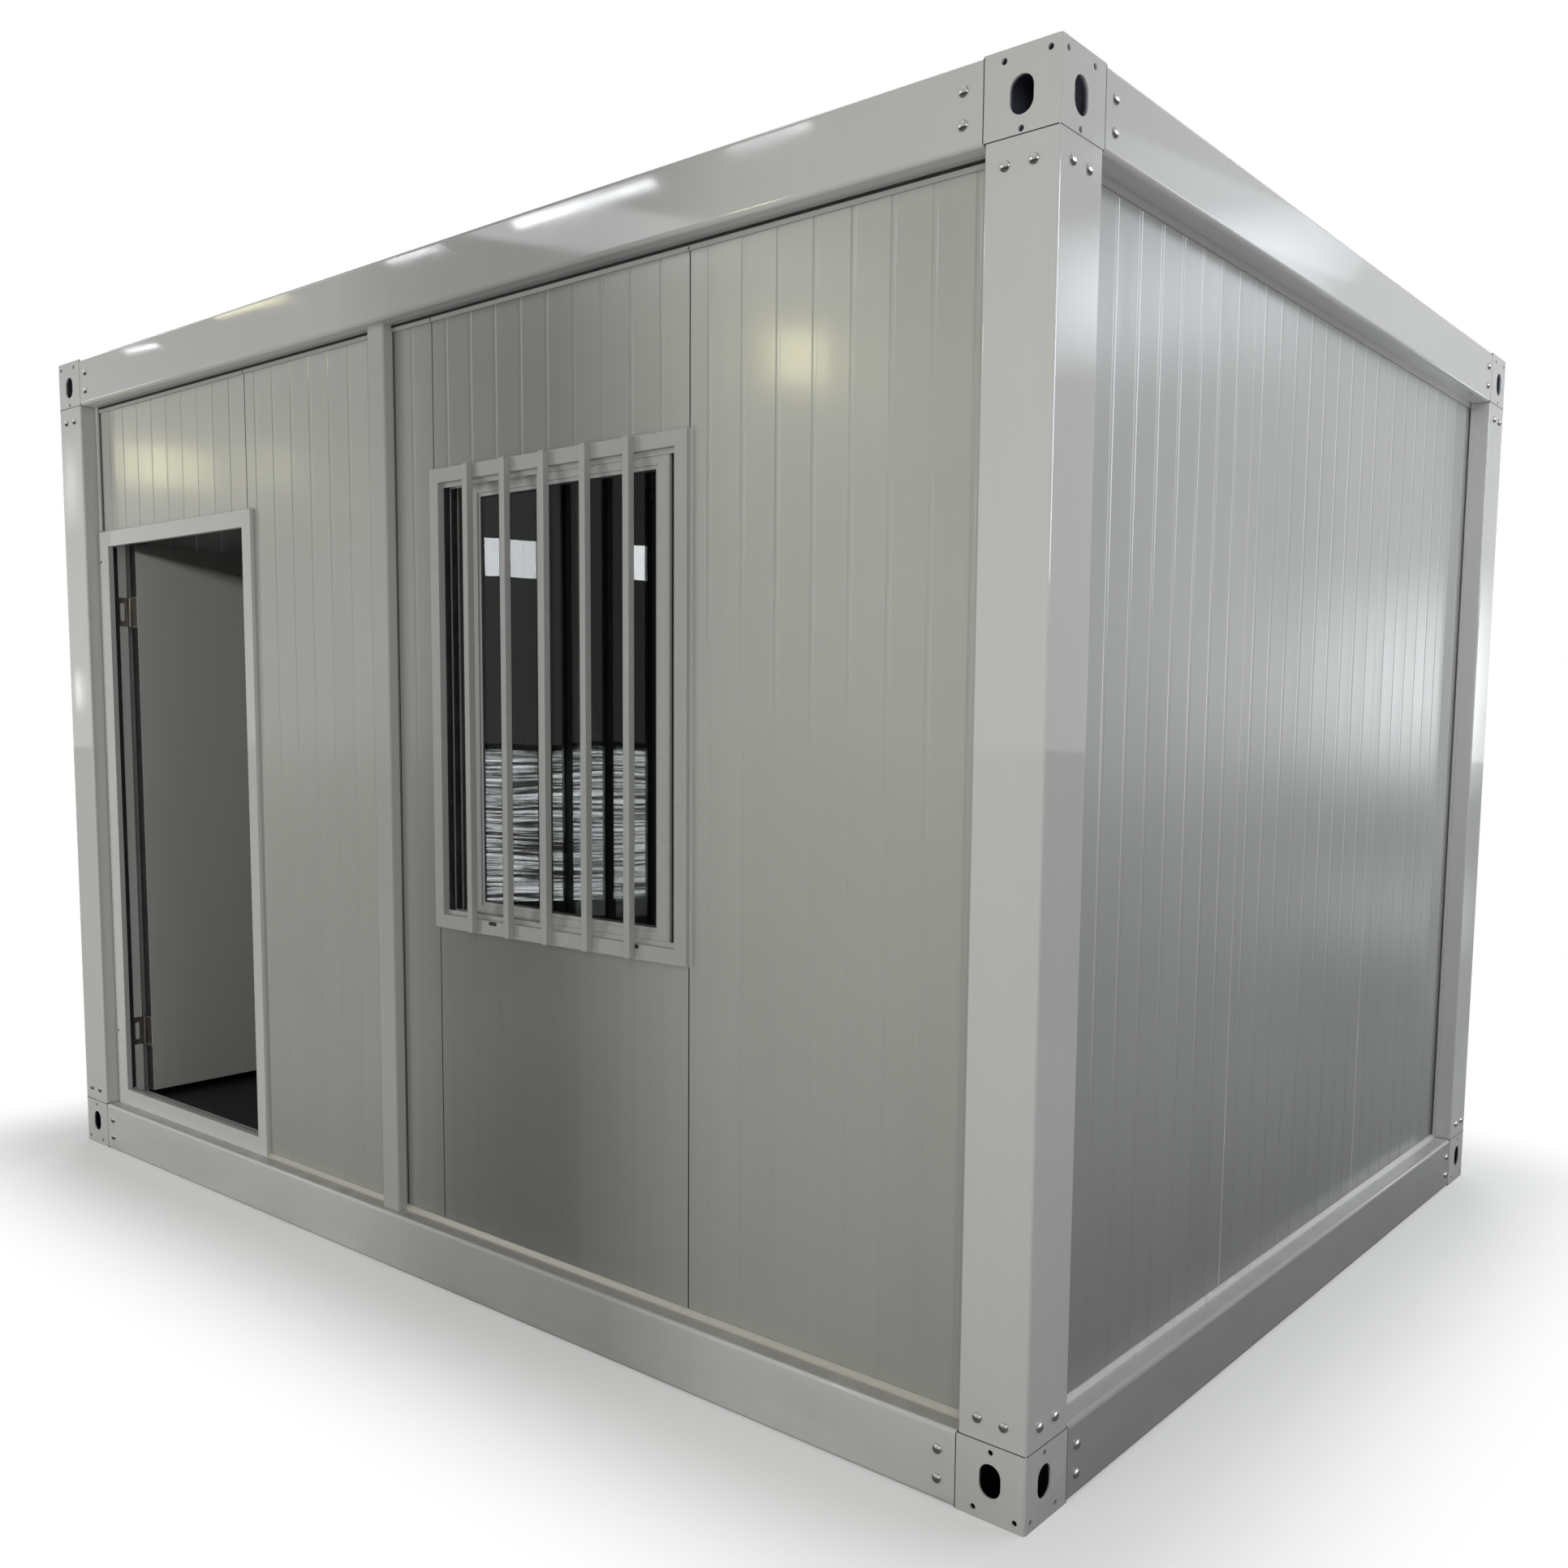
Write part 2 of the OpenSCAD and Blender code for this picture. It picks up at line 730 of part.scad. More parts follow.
module door_sill() {
    gap = joint_gap / 2;
    color(frame_paint) {
        along(door_stop_l + gap, door_stop_r - gap)
            polygon([[frame_front, base_h], [frame_rear, base_h], [frame_rear, rebate_low],
                [stop_back, rebate_low], [stop_back, sill_top], [frame_front, sill_top]]);
        along(rebate_l + gap, rebate_r - gap)
            translate([stop_back, base_h]) square([frame_rear - stop_back, rebate_low - base_h]);
    }
}

// Pockets that let the hinge plates in flush, from X = 0 on.
module hinge_pockets() {
    for (z = [hinge_low, hinge_high]) {
        translate([0, frame_rear - hinge_plate_w - seat_gap, z - hinge_h / 2 - seat_gap])
            cube([hinge_plate_t + seat_gap + cut, hinge_plate_w + seat_gap + cut, hinge_h + 2 * seat_gap]);
    }
}

// A ring in the plane of the wall between two depths.
module window_ring(x0, z0, x1, z1, front, back) {
    translate([0, back, 0]) rotate([90, 0, 0]) linear_extrude(back - front) difference() {
        translate([x0, z0]) square([x1 - x0, z1 - z0]);
        translate([clear_x0, clear_z0]) square([clear_x1 - clear_x0, clear_z1 - clear_z0]);
    }
}

module window_frame() {
    color(sash_white) {
        window_ring(window_x0, window_z, window_x1, window_z1, frame_front, lap_back);
        window_ring(body_x0, body_z0, body_x1, body_z1, lap_back, window_rear);
        // Ribs of the sash tracks along the bottom and the top
        for (y = [wall_recess, inner_sash_y - cut - track_t], z = [clear_z0, clear_z1 - track_h]) {
            translate([clear_x0, y, z]) cube([clear_x1 - clear_x0, track_t, track_h]);
        }
    }
}

// A frame of one thickness in the plane of the wall, from Z = 0 and depth 0 on.
module sash_ring(h, face, t) {
    translate([0, t, 0]) rotate([90, 0, 0]) linear_extrude(t) difference() {
        square([sash_w, h]);
        translate([face, face]) square([sash_w - 2 * face, h - 2 * face]);
    }
}

module sash(x, y) {
    h = clear_z1 - clear_z0 - 2 * seat_gap;
    color(sash_white) translate([x, y, clear_z0 + seat_gap]) {
        sash_ring(h, sash_face - bead_w, sash_t);
        translate([0, bead_step, 0]) sash_ring(h, sash_face, sash_t - 2 * bead_step);
    }
}

module window_sash_left() {
    sash(left_sash_x, inner_sash_y);
}

module window_sash_right() {
    sash(right_sash_x, outer_sash_y);
}

module pane(x, y) {
    inset = sash_face + seat_gap;
    translate([x + inset, y + (sash_t - glass_t) / 2, clear_z0 + seat_gap + inset])
        cube([sash_w - 2 * inset, glass_t, clear_z1 - clear_z0 - 2 * seat_gap - 2 * inset]);
}

module window_glass() {
    color(glass_tint) {
        pane(left_sash_x, inner_sash_y);
        pane(right_sash_x, outer_sash_y);
    }
}

module window_bars() {
    middle = (clear_x0 + clear_x1) / 2;
    color(sash_white) for (i = [0 : bar_count - 1]) {
        translate([middle + (i - (bar_count - 1) / 2) * bar_pitch - bar_w / 2, frame_front - seat_gap - bar_w,
            window_z + bar_in])
            linear_extrude(window_h - 2 * bar_in) round_square(bar_w, bar_w, bar_r);
    }
}

// Turns what is drawn on the closed door to where the leaf stands open.
module door_opened() {
    translate([pin_x, pin_y, 0]) rotate([0, 0, open_angle]) translate([-pin_x, -pin_y, 0]) children();
}

module door_leaf() {
    color(leaf_grey) door_opened() difference() {
        translate([leaf_x0, leaf_front, leaf_z0])
            cube([leaf_x1 - leaf_x0, leaf_back - leaf_front, leaf_z1 - leaf_z0]);
        translate([leaf_x0 - cut, 0, 0]) hinge_pockets();
    }
}

// Half of a hinge: a plate beside the gap, a strap to the pin and one half of the knuckle.
module hinge_half(plate_x, low, bore) {
    half = hinge_h / 2 - seat_gap;
    difference() {
        translate([plate_x, leaf_back - hinge_plate_w, -hinge_h / 2])
            cube([hinge_plate_t, hinge_plate_w, hinge_h]);
        if (!bore) {
            translate([plate_x - cut, leaf_back - hinge_plate_w / 2, 0]) rotate([0, 0, -90])
                slot_cut(hinge_slot_w, hinge_slot_h, hinge_plate_t + 2 * cut);
        }
    }
    translate([0, 0, low]) difference() {
        union() {
            translate([plate_x, leaf_back - cut, 0]) cube([hinge_plate_t, pin_back + cut, half]);
            translate([pin_x, pin_y, 0]) cylinder(d = knuckle_d, h = half, $fn = 48);
        }
        if (bore) {
            translate([pin_x, pin_y, -cut]) cylinder(d = pin_d + pin_play, h = half + 2 * cut, $fn = 48);
        }
    }
}

module hinge_frame_plates() {
    color(zinc) for (z = [hinge_low, hinge_high]) {
        translate([0, 0, z]) {
            hinge_half(rebate_l - hinge_plate_t, -hinge_h / 2, false);
            translate([pin_x, pin_y, -hinge_h / 4]) cylinder(d = pin_d, h = 3 * hinge_h / 4, $fn = 48);
        }
    }
}

module hinge_leaf_plates() {
    color(zinc) door_opened() for (z = [hinge_low, hinge_high]) {
        translate([0, 0, z]) hinge_half(leaf_x0, seat_gap, true);
    }
}

// Lever and plate on one face of the leaf, drawn on the face Y = 0 and standing out towards -Y.
module lever_set() {
    translate([-plate_w / 2, -plate_t, -2 * plate_h / 3]) cube([plate_w, plate_t, plate_h]);
    rotate([90, 0, 0]) cylinder(d = lever_d, h = lever_out, $fn = 48);
    translate([0, -lever_out, 0]) sphere(d = lever_d, $fn = 48);
    translate([0, -lever_out, 0]) rotate([0, -90, 0]) cylinder(d = lever_d, h = lever_l, $fn = 48);
}

module door_handle() {
    x = leaf_x1 - handle_in;
    color(zinc) door_opened() {
        translate([x, leaf_front - seat_gap, handle_z]) lever_set();
        translate([x, leaf_back + seat_gap, handle_z]) mirror([0, 1, 0]) lever_set();
    }
}

on_front() base_rail(house_l);  // base_rail_front
on_back() base_rail(house_l);  // base_rail_back
on_left() base_rail(house_w);  // base_rail_left
on_right() base_rail(house_w);  // base_rail_right
at_front_left() base_corner();  // base_corner_front_left
at_front_right() base_corner();  // base_corner_front_right
at_back_left() base_corner();  // base_corner_back_left
at_back_right() base_corner();  // base_corner_back_right
at_front_left() door_post();  // corner_post_front_left
at_front_right() corner_post();  // corner_post_front_right
at_back_left() corner_post();  // corner_post_back_left
at_back_right() corner_post();  // corner_post_back_right
on_front() roof_rail(house_l);  // roof_rail_front
on_back() roof_rail(house_l);  // roof_rail_back
on_left() roof_rail(house_w);  // roof_rail_left
on_right() roof_rail(house_w);  // roof_rail_right
at_front_left() roof_corner();  // roof_corner_front_left
at_front_right() roof_corner();  // roof_corner_front_right
at_back_left() roof_corner();  // roof_corner_back_left
at_back_right() roof_corner();  // roof_corner_back_right
floor_joists();
floor_board();
ceiling_panel();
roof_sheet();
on_front() front_panel_over_door();
on_front() front_panel_beside_door();
on_front() front_panel_over_window();
on_front() front_panel_under_window();
on_front() front_panel_right();
on_back() panel_wall(house_l, long_joint);  // back_wall_panels
on_left() panel_wall(house_w, end_joint);  // left_wall_panels
on_right() panel_wall(house_w, end_joint);  // right_wall_panels
on_front() middle_post();
foot_flashing();
head_trim();
on_front() door_jamb_hinge();
on_front() door_jamb_lock();
on_front() door_head();
on_front() door_sill();
on_front() window_frame();
on_front() window_sash_left();
on_front() window_sash_right();
on_front() window_glass();
on_front() window_bars();
on_front() hinge_frame_plates();
on_front() door_leaf();
on_front() hinge_leaf_plates();
on_front() door_handle();
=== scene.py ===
"""Looks of a modular container house: paint, panel skins, bolts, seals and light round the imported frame."""
import math

import bmesh
import bpy
import numpy as np
from mathutils import Matrix, Vector


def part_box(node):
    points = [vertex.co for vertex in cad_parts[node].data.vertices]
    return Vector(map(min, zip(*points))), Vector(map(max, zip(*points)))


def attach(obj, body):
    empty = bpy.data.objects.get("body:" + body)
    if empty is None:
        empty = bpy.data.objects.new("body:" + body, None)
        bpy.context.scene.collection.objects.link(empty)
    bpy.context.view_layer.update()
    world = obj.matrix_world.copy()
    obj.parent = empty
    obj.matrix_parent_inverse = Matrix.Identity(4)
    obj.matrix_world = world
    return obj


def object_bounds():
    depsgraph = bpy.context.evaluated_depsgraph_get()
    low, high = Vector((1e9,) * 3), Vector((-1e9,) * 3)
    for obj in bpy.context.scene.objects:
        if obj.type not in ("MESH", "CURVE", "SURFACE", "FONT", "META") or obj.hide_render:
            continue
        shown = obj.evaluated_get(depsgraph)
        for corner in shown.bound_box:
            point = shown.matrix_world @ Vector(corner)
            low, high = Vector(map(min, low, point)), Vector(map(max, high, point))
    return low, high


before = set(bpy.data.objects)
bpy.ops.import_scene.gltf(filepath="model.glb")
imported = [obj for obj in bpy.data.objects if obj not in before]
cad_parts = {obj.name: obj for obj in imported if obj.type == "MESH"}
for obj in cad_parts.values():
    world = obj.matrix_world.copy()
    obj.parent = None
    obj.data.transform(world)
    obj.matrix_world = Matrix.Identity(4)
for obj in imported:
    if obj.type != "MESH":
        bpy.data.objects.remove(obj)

CAD_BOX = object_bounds()
LOW, HIGH = np.array(CAD_BOX[0]), np.array(CAD_BOX[1])
LENGTH, WIDTH, HEIGHT = HIGH - LOW
BASE_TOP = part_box("base_rail_front")[1][2]
ROOF_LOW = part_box("roof_rail_front")[0][2]
MM = 0.001

# Walls: origin at the foot of the outer face's start, direction along the wall and direction inwards
WALLS = {
    "front": (LOW, (1, 0, 0), (0, 1, 0), LENGTH),
    "back": ((LOW[0], HIGH[1], 0), (1, 0, 0), (0, -1, 0), LENGTH),
    "right": ((HIGH[0], LOW[1], 0), (0, 1, 0), (-1, 0, 0), WIDTH),
    "left": (LOW, (0, 1, 0), (1, 0, 0), WIDTH),
}
LONG_WALLS, END_WALLS = ("front", "back"), ("right", "left")

# Panels: width, distance of the first groove from a joint, pitch of the grooves, and the walls' first joints
PANEL_W, GROOVE_EDGE, GROOVE_PITCH = 0.95, 0.06, 0.1
LONG_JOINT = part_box("front_panel_beside_door")[0][0] - 0.4 * MM
END_JOINT = LOW[1] + 1.024
# A groove's flanks: their distance from the middle of a strip and half their width, as parts of the pitch
FLANK, FLANK_HALF = 0.4425, 0.024


def on_wall(wall, points):
    """Origin plus along times the first coordinate, inward times the second and up times the third.
    Also tells whether the mapping turns shapes inside out."""
    origin, along, inward, _ = WALLS[wall]
    basis = np.array((along, inward, (0, 0, 1)), float)
    return np.asarray(origin) + np.asarray(points) @ basis, np.linalg.det(basis) < 0


def grid_faces(rows, cols, wrap_rows=False, wrap_cols=False):
    """Quads between neighbouring points of a grid that is stored row by row."""
    r, c = np.meshgrid(np.arange(rows if wrap_rows else rows - 1),
                       np.arange(cols if wrap_cols else cols - 1), indexing="ij")
    r1, c1 = (r + 1) % rows, (c + 1) % cols
    return np.stack([r * cols + c, r * cols + c1, r1 * cols + c1, r1 * cols + c], -1).reshape(-1, 4)


def repeated(shape, places):
    """A copy of the shape's points at each place, as place plus point, with the faces counted on."""
    points, faces = shape
    places = np.asarray(places, float)
    all_points = (places[:, None, :] + points[None, :, :]).reshape(-1, 3)
    all_faces = (np.arange(len(places))[:, None, None] * len(points) + faces[None]).reshape(-1, 4)
    return all_points, all_faces


def domed_head(radius, height, rim, sides=20, rings=6):
    """A bolt head that stands out of a wall: radius times the sine and height times the cosine of an
    angle from 0 at the crown to a right angle, with an upright rim under it."""
    t = np.linspace(0, math.pi / 2, rings)
    r = np.append(radius * np.sin(t), radius)
    h = np.append(rim + height * np.cos(t), 0.0)
    a = np.arange(sides) * 2 * math.pi / sides
    points = np.stack([r[:, None] * np.cos(a), np.repeat(-h[:, None], sides, 1), r[:, None] * np.sin(a)], -1)
    return points.reshape(-1, 3), grid_faces(len(r), sides, wrap_cols=True)


def frame_round(rect, outline):
    """An outline of offset and depth carried round a rectangle: each corner point is the rectangle's corner
    plus the offset outwards along both axes."""
    u0, z0, u1, z1 = rect
    corners = np.array([(u0, z0), (u1, z0), (u1, z1), (u0, z1)])
    outward = np.array([(-1, -1), (1, -1), (1, 1), (-1, 1)], float)
    outline = np.asarray(outline, float)
    flat = corners[:, None, :] + outward[:, None, :] * outline[None, :, :1]
    depth = np.repeat(outline[None, :, 1:], 4, 0)
    points = np.concatenate([flat[..., :1], depth, flat[..., 1:]], -1)
    return points.reshape(-1, 3), grid_faces(4, len(outline), wrap_rows=True, wrap_cols=True)


def bar(outline, start, end, axis):
    """An outline carried straight from start to end along an axis, with a lid at each end that joins the
    outline to its middle."""
    outline = np.asarray(outline, float)
    middle = np.repeat(outline.mean(0, keepdims=True), len(outline), 0)
    rows = [(middle, start), (outline, start), (outline, end), (middle, end)]
    points = np.stack([np.insert(flat, axis, place, axis=1) for flat, place in rows])
    return points.reshape(-1, 3), grid_faces(4, len(outline), wrap_cols=True)


def rounded(u0, v0, u1, v1, r, steps=5):
    """Outline of a rectangle with quarter circles of radius r at its corners."""
    a = np.linspace(0, math.pi / 2, steps)
    quarter = np.stack([np.cos(a), np.sin(a)], -1) * r
    turn = np.array([[0, 1], [-1, 0]], float)
    spots = [(u1 - r, v1 - r), (u0 + r, v1 - r), (u0 + r, v0 + r), (u1 - r, v0 + r)]
    return np.concatenate([np.asarray(s) + quarter @ np.linalg.matrix_power(turn, k)
                           for k, s in enumerate(spots)])


def piece(name, shapes, material, body="house", sharp_deg=35):
    """Joins shapes of points and quads into one mesh, closes seams and poles, and turns faces outwards."""
    points, faces, first = [], [], 0
    for shape_points, shape_faces in shapes:
        points.append(shape_points)
        faces.append(shape_faces + first)
        first += len(shape_points)
    mesh = bpy.data.meshes.new(name)
    mesh.from_pydata(np.concatenate(points).tolist(), [], np.concatenate(faces).tolist())
    shell = bmesh.new()
    shell.from_mesh(mesh)
    bmesh.ops.remove_doubles(shell, verts=shell.verts, dist=1e-6)
    bmesh.ops.recalc_face_normals(shell, faces=shell.faces)
    shell.to_mesh(mesh)
    shell.free()
    mesh.polygons.foreach_set("use_smooth", np.ones(len(mesh.polygons), bool))
    mesh.set_sharp_from_angle(angle=math.radians(sharp_deg))
    mesh.materials.append(material)
    made = bpy.data.objects.new(name, mesh)
    bpy.context.scene.collection.objects.link(made)
    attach(made, body)
    return made


def placed(wall, shape):
    """A shape in wall coordinates taken to the house's frame."""
    points, inside_out = on_wall(wall, shape[0])
    return points, shape[1][:, ::-1] if inside_out else shape[1]


# Shader building


def linked(tree, made, inputs):
    """Sets a node's inputs to values or links them to sockets."""
    for key, value in inputs.items():
        if isinstance(value, bpy.types.NodeSocket):
            tree.links.new(value, made.inputs[key])
        else:
            made.inputs[key].default_value = value
    return made


def add(tree, kind, inputs=None, **settings):
    """A node with its settings and its inputs."""
    made = tree.nodes.new(kind)
    for key, value in settings.items():
        setattr(made, key, value)
    return linked(tree, made, inputs or {})


def maths(tree, operation, a, b=0.0, c=0.0):
    """The result of one operation on up to three values."""
    return add(tree, "ShaderNodeMath", {0: a, 1: b, 2: c}, operation=operation).outputs[0]


def spread(tree, value, low, high, to_low=0.0, to_high=1.0, smooth=False):
    """Carries a value from one range to another and keeps it there."""
    return add(tree, "ShaderNodeMapRange", {"Value": value, "From Min": low, "From Max": high,
                                            "To Min": to_low,
               "To Max": to_high}, interpolation_type="SMOOTHSTEP" if smooth else "LINEAR").outputs[0]


def blend_colours(tree, factor, a, b, mode="MIX"):
    """Colour a, carried by the factor towards b or towards a times b."""
    return linked(tree, add(tree, "ShaderNodeMix", data_type="RGBA", blend_type=mode),
                  {0: factor, 6: a, 7: b}).outputs[2]


def noise(tree, position, scale, detail=3.0, roughness=0.5):
    """Soft noise from 0 to 1, with its scale for each metre."""
    return add(tree, "ShaderNodeTexNoise", {"Vector": position, "Scale": scale, "Detail": detail,
               "Roughness": roughness}).outputs["Fac"]


def stretched(tree, position, scale):
    """A position times a scale for each axis, which draws a pattern out along the axes of small scale."""
    return add(tree, "ShaderNodeVectorMath", {0: position, 1: scale}, operation="MULTIPLY").outputs[0]


def axes_of(tree, position):
    """The three coordinates of a position."""
    return add(tree, "ShaderNodeSeparateXYZ", {0: position}).outputs


def new_group(name, inputs, outputs):
    """An empty shader group with its sockets, and its input and output nodes."""
    tree = bpy.data.node_groups.new(name, "ShaderNodeTree")
    for side, sockets in (("INPUT", inputs), ("OUTPUT", outputs)):
        for label, kind, value in sockets:
            socket = tree.interface.new_socket(label, in_out=side, socket_type="NodeSocket" + kind)
            if value is not None:
                socket.default_value = value
    return tree, tree.nodes.new("NodeGroupInput").outputs, tree.nodes.new("NodeGroupOutput").inputs


def coat_group():
    """Height of a sprayed coat: fine orange peel, slow waves, and clusters of paint specks, which are dots
    round the points of a Voronoi pattern where slow noise is high."""
    tree, given, out = new_group("sprayed_coat", [("Position", "Vector", None), ("Peel", "Float", 1.0),
                                 ("Wave", "Float", 1.0), ("Specks", "Float", 0.0)],
                                 [("Height", "Float", None)])
    peel = maths(tree, "MULTIPLY", noise(tree, given["Position"], 170.0, 2.0), given["Peel"])
    wave = maths(tree, "MULTIPLY", noise(tree, given["Position"], 3.2, 1.0), given["Wave"])
    reach = add(tree, "ShaderNodeTexVoronoi", {"Vector": given["Position"],
                                               "Scale": 110.0}).outputs["Distance"]
    dots = spread(tree, reach, 0.1, 0.24, 1.0, 0.0, True)
    cluster = spread(tree, noise(tree, given["Position"], 2.6, 2.0), 0.6, 0.72)
    specks = maths(tree, "MULTIPLY", maths(tree, "MULTIPLY", dots, cluster), given["Specks"])
    tree.links.new(maths(tree, "ADD", maths(tree, "ADD", peel, wave), specks), out["Height"])
    return tree


def tone_group():
    """A paint colour that drifts between a light and a dark tone in clouds and in upright streaks."""
    tree, given, out = new_group("drifting_tone", [("Position", "Vector", None), ("Light", "Color", None),
                                 ("Dark", "Color", None), ("Streaks", "Float", 0.4)],
                                 [("Colour", "Color", None)])
    clouds = spread(tree, noise(tree, given["Position"], 1.3, 3.0, 0.5), 0.3, 0.7)
    runs = spread(tree, noise(tree, stretched(tree, given["Position"], (26.0, 26.0, 0.7)), 1.0, 3.0), 0.35,
                  0.7)
    mixed = add(tree, "ShaderNodeMix", {0: given["Streaks"], 2: clouds, 3: runs}).outputs[0]
    tree.links.new(blend_colours(tree, mixed, given["Light"], given["Dark"]), out["Colour"])
    return tree


def dust_group():
    """A mask of ground dust: one at the ground, fading over the reach, in soft patches."""
    tree, given, out = new_group("ground_dust", [("Position", "Vector", None), ("Reach", "Float", 0.4)],
                                 [("Mask", "Float", None)])
    height = axes_of(tree, given["Position"])["Z"]
    near = maths(tree, "SUBTRACT", 1.0, maths(tree, "DIVIDE", height, given["Reach"]))
    patch = spread(tree, noise(tree, stretched(tree, given["Position"], (3.0, 3.0, 9.0)), 1.0, 4.0), 0.4,
                   0.75)
    tree.links.new(maths(tree, "MULTIPLY", maths(tree, "MAXIMUM", near, 0.0), patch), out["Mask"])
    return tree


def strips_group():
    """The pressed strips of a panel skin. The place within a panel is the distance along the wall modulo the
    panel width, and each strip between two grooves gets its own slight tilt and a hollow across it. Start and
    End are the grooves' two flanks beside a strip."""
    tree, given, out = new_group("pressed_strips", [("Along", "Float", 0.0), ("Joint", "Float", 0.0)],
                                 [("Height", "Float", None), ("Tone", "Float", None),
                                  ("Start", "Float", None),
                                  ("End", "Float", None)])
    from_joint = maths(tree, "SUBTRACT", given["Along"], given["Joint"])
    inside = maths(tree, "FLOORED_MODULO", from_joint, PANEL_W)
    panel = maths(tree, "FLOOR", maths(tree, "DIVIDE", from_joint, PANEL_W))
    count = maths(tree, "DIVIDE", maths(tree, "SUBTRACT", inside, GROOVE_EDGE), GROOVE_PITCH)
    strip = maths(tree, "FLOOR", count)
    across = maths(tree, "SUBTRACT", maths(tree, "SUBTRACT", count, strip), 0.5)
    seed = add(tree, "ShaderNodeCombineXYZ", {0: strip, 1: panel}).outputs[0]
    chance = add(tree, "ShaderNodeTexWhiteNoise", {"Vector": seed}, noise_dimensions="3D").outputs["Value"]
    tilt = maths(tree, "MULTIPLY", maths(tree, "SUBTRACT", chance, 0.5), across)
    hollow = maths(tree, "MULTIPLY", across, across)
    tree.links.new(maths(tree, "ADD", tilt, hollow), out["Height"])
    tree.links.new(chance, out["Tone"])
    tree.links.new(maths(tree, "COMPARE", across, -FLANK, FLANK_HALF), out["Start"])
    tree.links.new(maths(tree, "COMPARE", across, FLANK, FLANK_HALF), out["End"])
    return tree


def brushed_group():
    """Brushed metal: fine noise drawn out along one axis changes the tone."""
    tree, given, out = new_group("brushed_metal", [("Position", "Vector", None), ("Light", "Color", None),
                                 ("Dark", "Color", None), ("Draw", "Vector", None)],
                                 [("Colour", "Color", None), ("Grain", "Float", None)])
    grain = spread(tree, noise(tree, stretched(tree, given["Position"], given["Draw"]), 1.0, 4.0, 0.6), 0.3,
                   0.7)
    tree.links.new(blend_colours(tree, grain, given["Light"], given["Dark"]), out["Colour"])
    tree.links.new(grain, out["Grain"])
    return tree


def hollow_group():
    """One inside the hollow fittings: where the depth under the nearest outer face of the house, the least
    of half the length less |x|, half the width less |y|, the height and the height left above, passes the
    paint."""
    tree, given, out = new_group("hollow_inside", [("Position", "Vector", None)], [("Mask", "Float", None)])
    place = axes_of(tree, given["Position"])
    depth_x = maths(tree, "SUBTRACT", LENGTH / 2, maths(tree, "ABSOLUTE", place["X"]))
    depth_y = maths(tree, "SUBTRACT", WIDTH / 2, maths(tree, "ABSOLUTE", place["Y"]))
    depth_z = maths(tree, "MINIMUM", place["Z"], maths(tree, "SUBTRACT", HEIGHT, place["Z"]))
    depth = maths(tree, "MINIMUM", maths(tree, "MINIMUM", depth_x, depth_y), depth_z)
    tree.links.new(spread(tree, depth, 2 * MM, 5 * MM), out["Mask"])
    return tree


def ledge_group():
    """The base rails' ledges: one within a millimetre of the ledge's height, broken by patches of noise."""
    tree, given, out = new_group("ledge_dirt_and_light", [("Position", "Vector", None)], [("Mask", "Float", None)])
    place = axes_of(tree, given["Position"])
    level = spread(tree, place["Z"], BASE_TOP - 1.5 * MM, BASE_TOP - 0.5 * MM)
    patch = spread(tree, noise(tree, given["Position"], 9.0, 5.0, 0.6), 0.3, 0.6, 0.55, 1.0)
    tree.links.new(maths(tree, "MULTIPLY", level, patch), out["Mask"])
    return tree


def long_side_group():
    """One along front and back, where |y| is within the wall's recess of half the width, and nought along the
    ends."""
    tree, given, out = new_group("long_side", [("Position", "Vector", None)], [("Mask", "Float", None)])
    across = axes_of(tree, given["Position"])["Y"]
    tree.links.new(spread(tree, maths(tree, "ABSOLUTE", across), WIDTH / 2 - 0.08, WIDTH / 2 - 0.07),
                   out["Mask"])
    return tree


COAT, TONE, DUST, STRIPS, BRUSHED = coat_group(), tone_group(), dust_group(), strips_group(), brushed_group()
HOLLOW, LEDGE, LONG_SIDE = hollow_group(), ledge_group(), long_side_group()


def new_material(name):
    """A material with an empty tree, its Principled shader and the object's own coordinates."""
    made = bpy.data.materials.new(name)
    made.use_nodes = True
    tree = made.node_tree
    tree.nodes.clear()
    shader = tree.nodes.new("ShaderNodeBsdfPrincipled")
    out = tree.nodes.new("ShaderNodeOutputMaterial")
    tree.links.new(shader.outputs[0], out.inputs["Surface"])
    place = tree.nodes.new("ShaderNodeTexCoord").outputs["Object"]
    return made, tree, shader, place


def use(tree, group, inputs):
    """A group placed in a material, with its own values."""
    return linked(tree, add(tree, "ShaderNodeGroup", node_tree=group), inputs).outputs


def bumped(tree, shader, height, distance):
    """Tilts the shader's normal by a height that counts in units of the distance."""
    normal = add(tree, "ShaderNodeBump", {"Height": height, "Distance": distance, "Strength": 1.0})
    tree.links.new(normal.outputs[0], shader.inputs["Normal"])


def shaded_along(tree, colour, along, stops):
    """A painted shade: a colour times a grey that follows stops along the house, each a place from 0 to 1 and
    a tone.
    """
    ramp = add(tree, "ShaderNodeValToRGB", {"Fac": spread(tree, along, LOW[0], HIGH[0])})
    elements = ramp.color_ramp.elements
    for at, _ in stops[2:]:
        elements.new(at)
    for element, (at, tone) in zip(elements, stops):
        element.position, element.color = at, (tone, tone, tone, 1)
    return blend_colours(tree, 1.0, colour, ramp.outputs["Color"], "MULTIPLY")


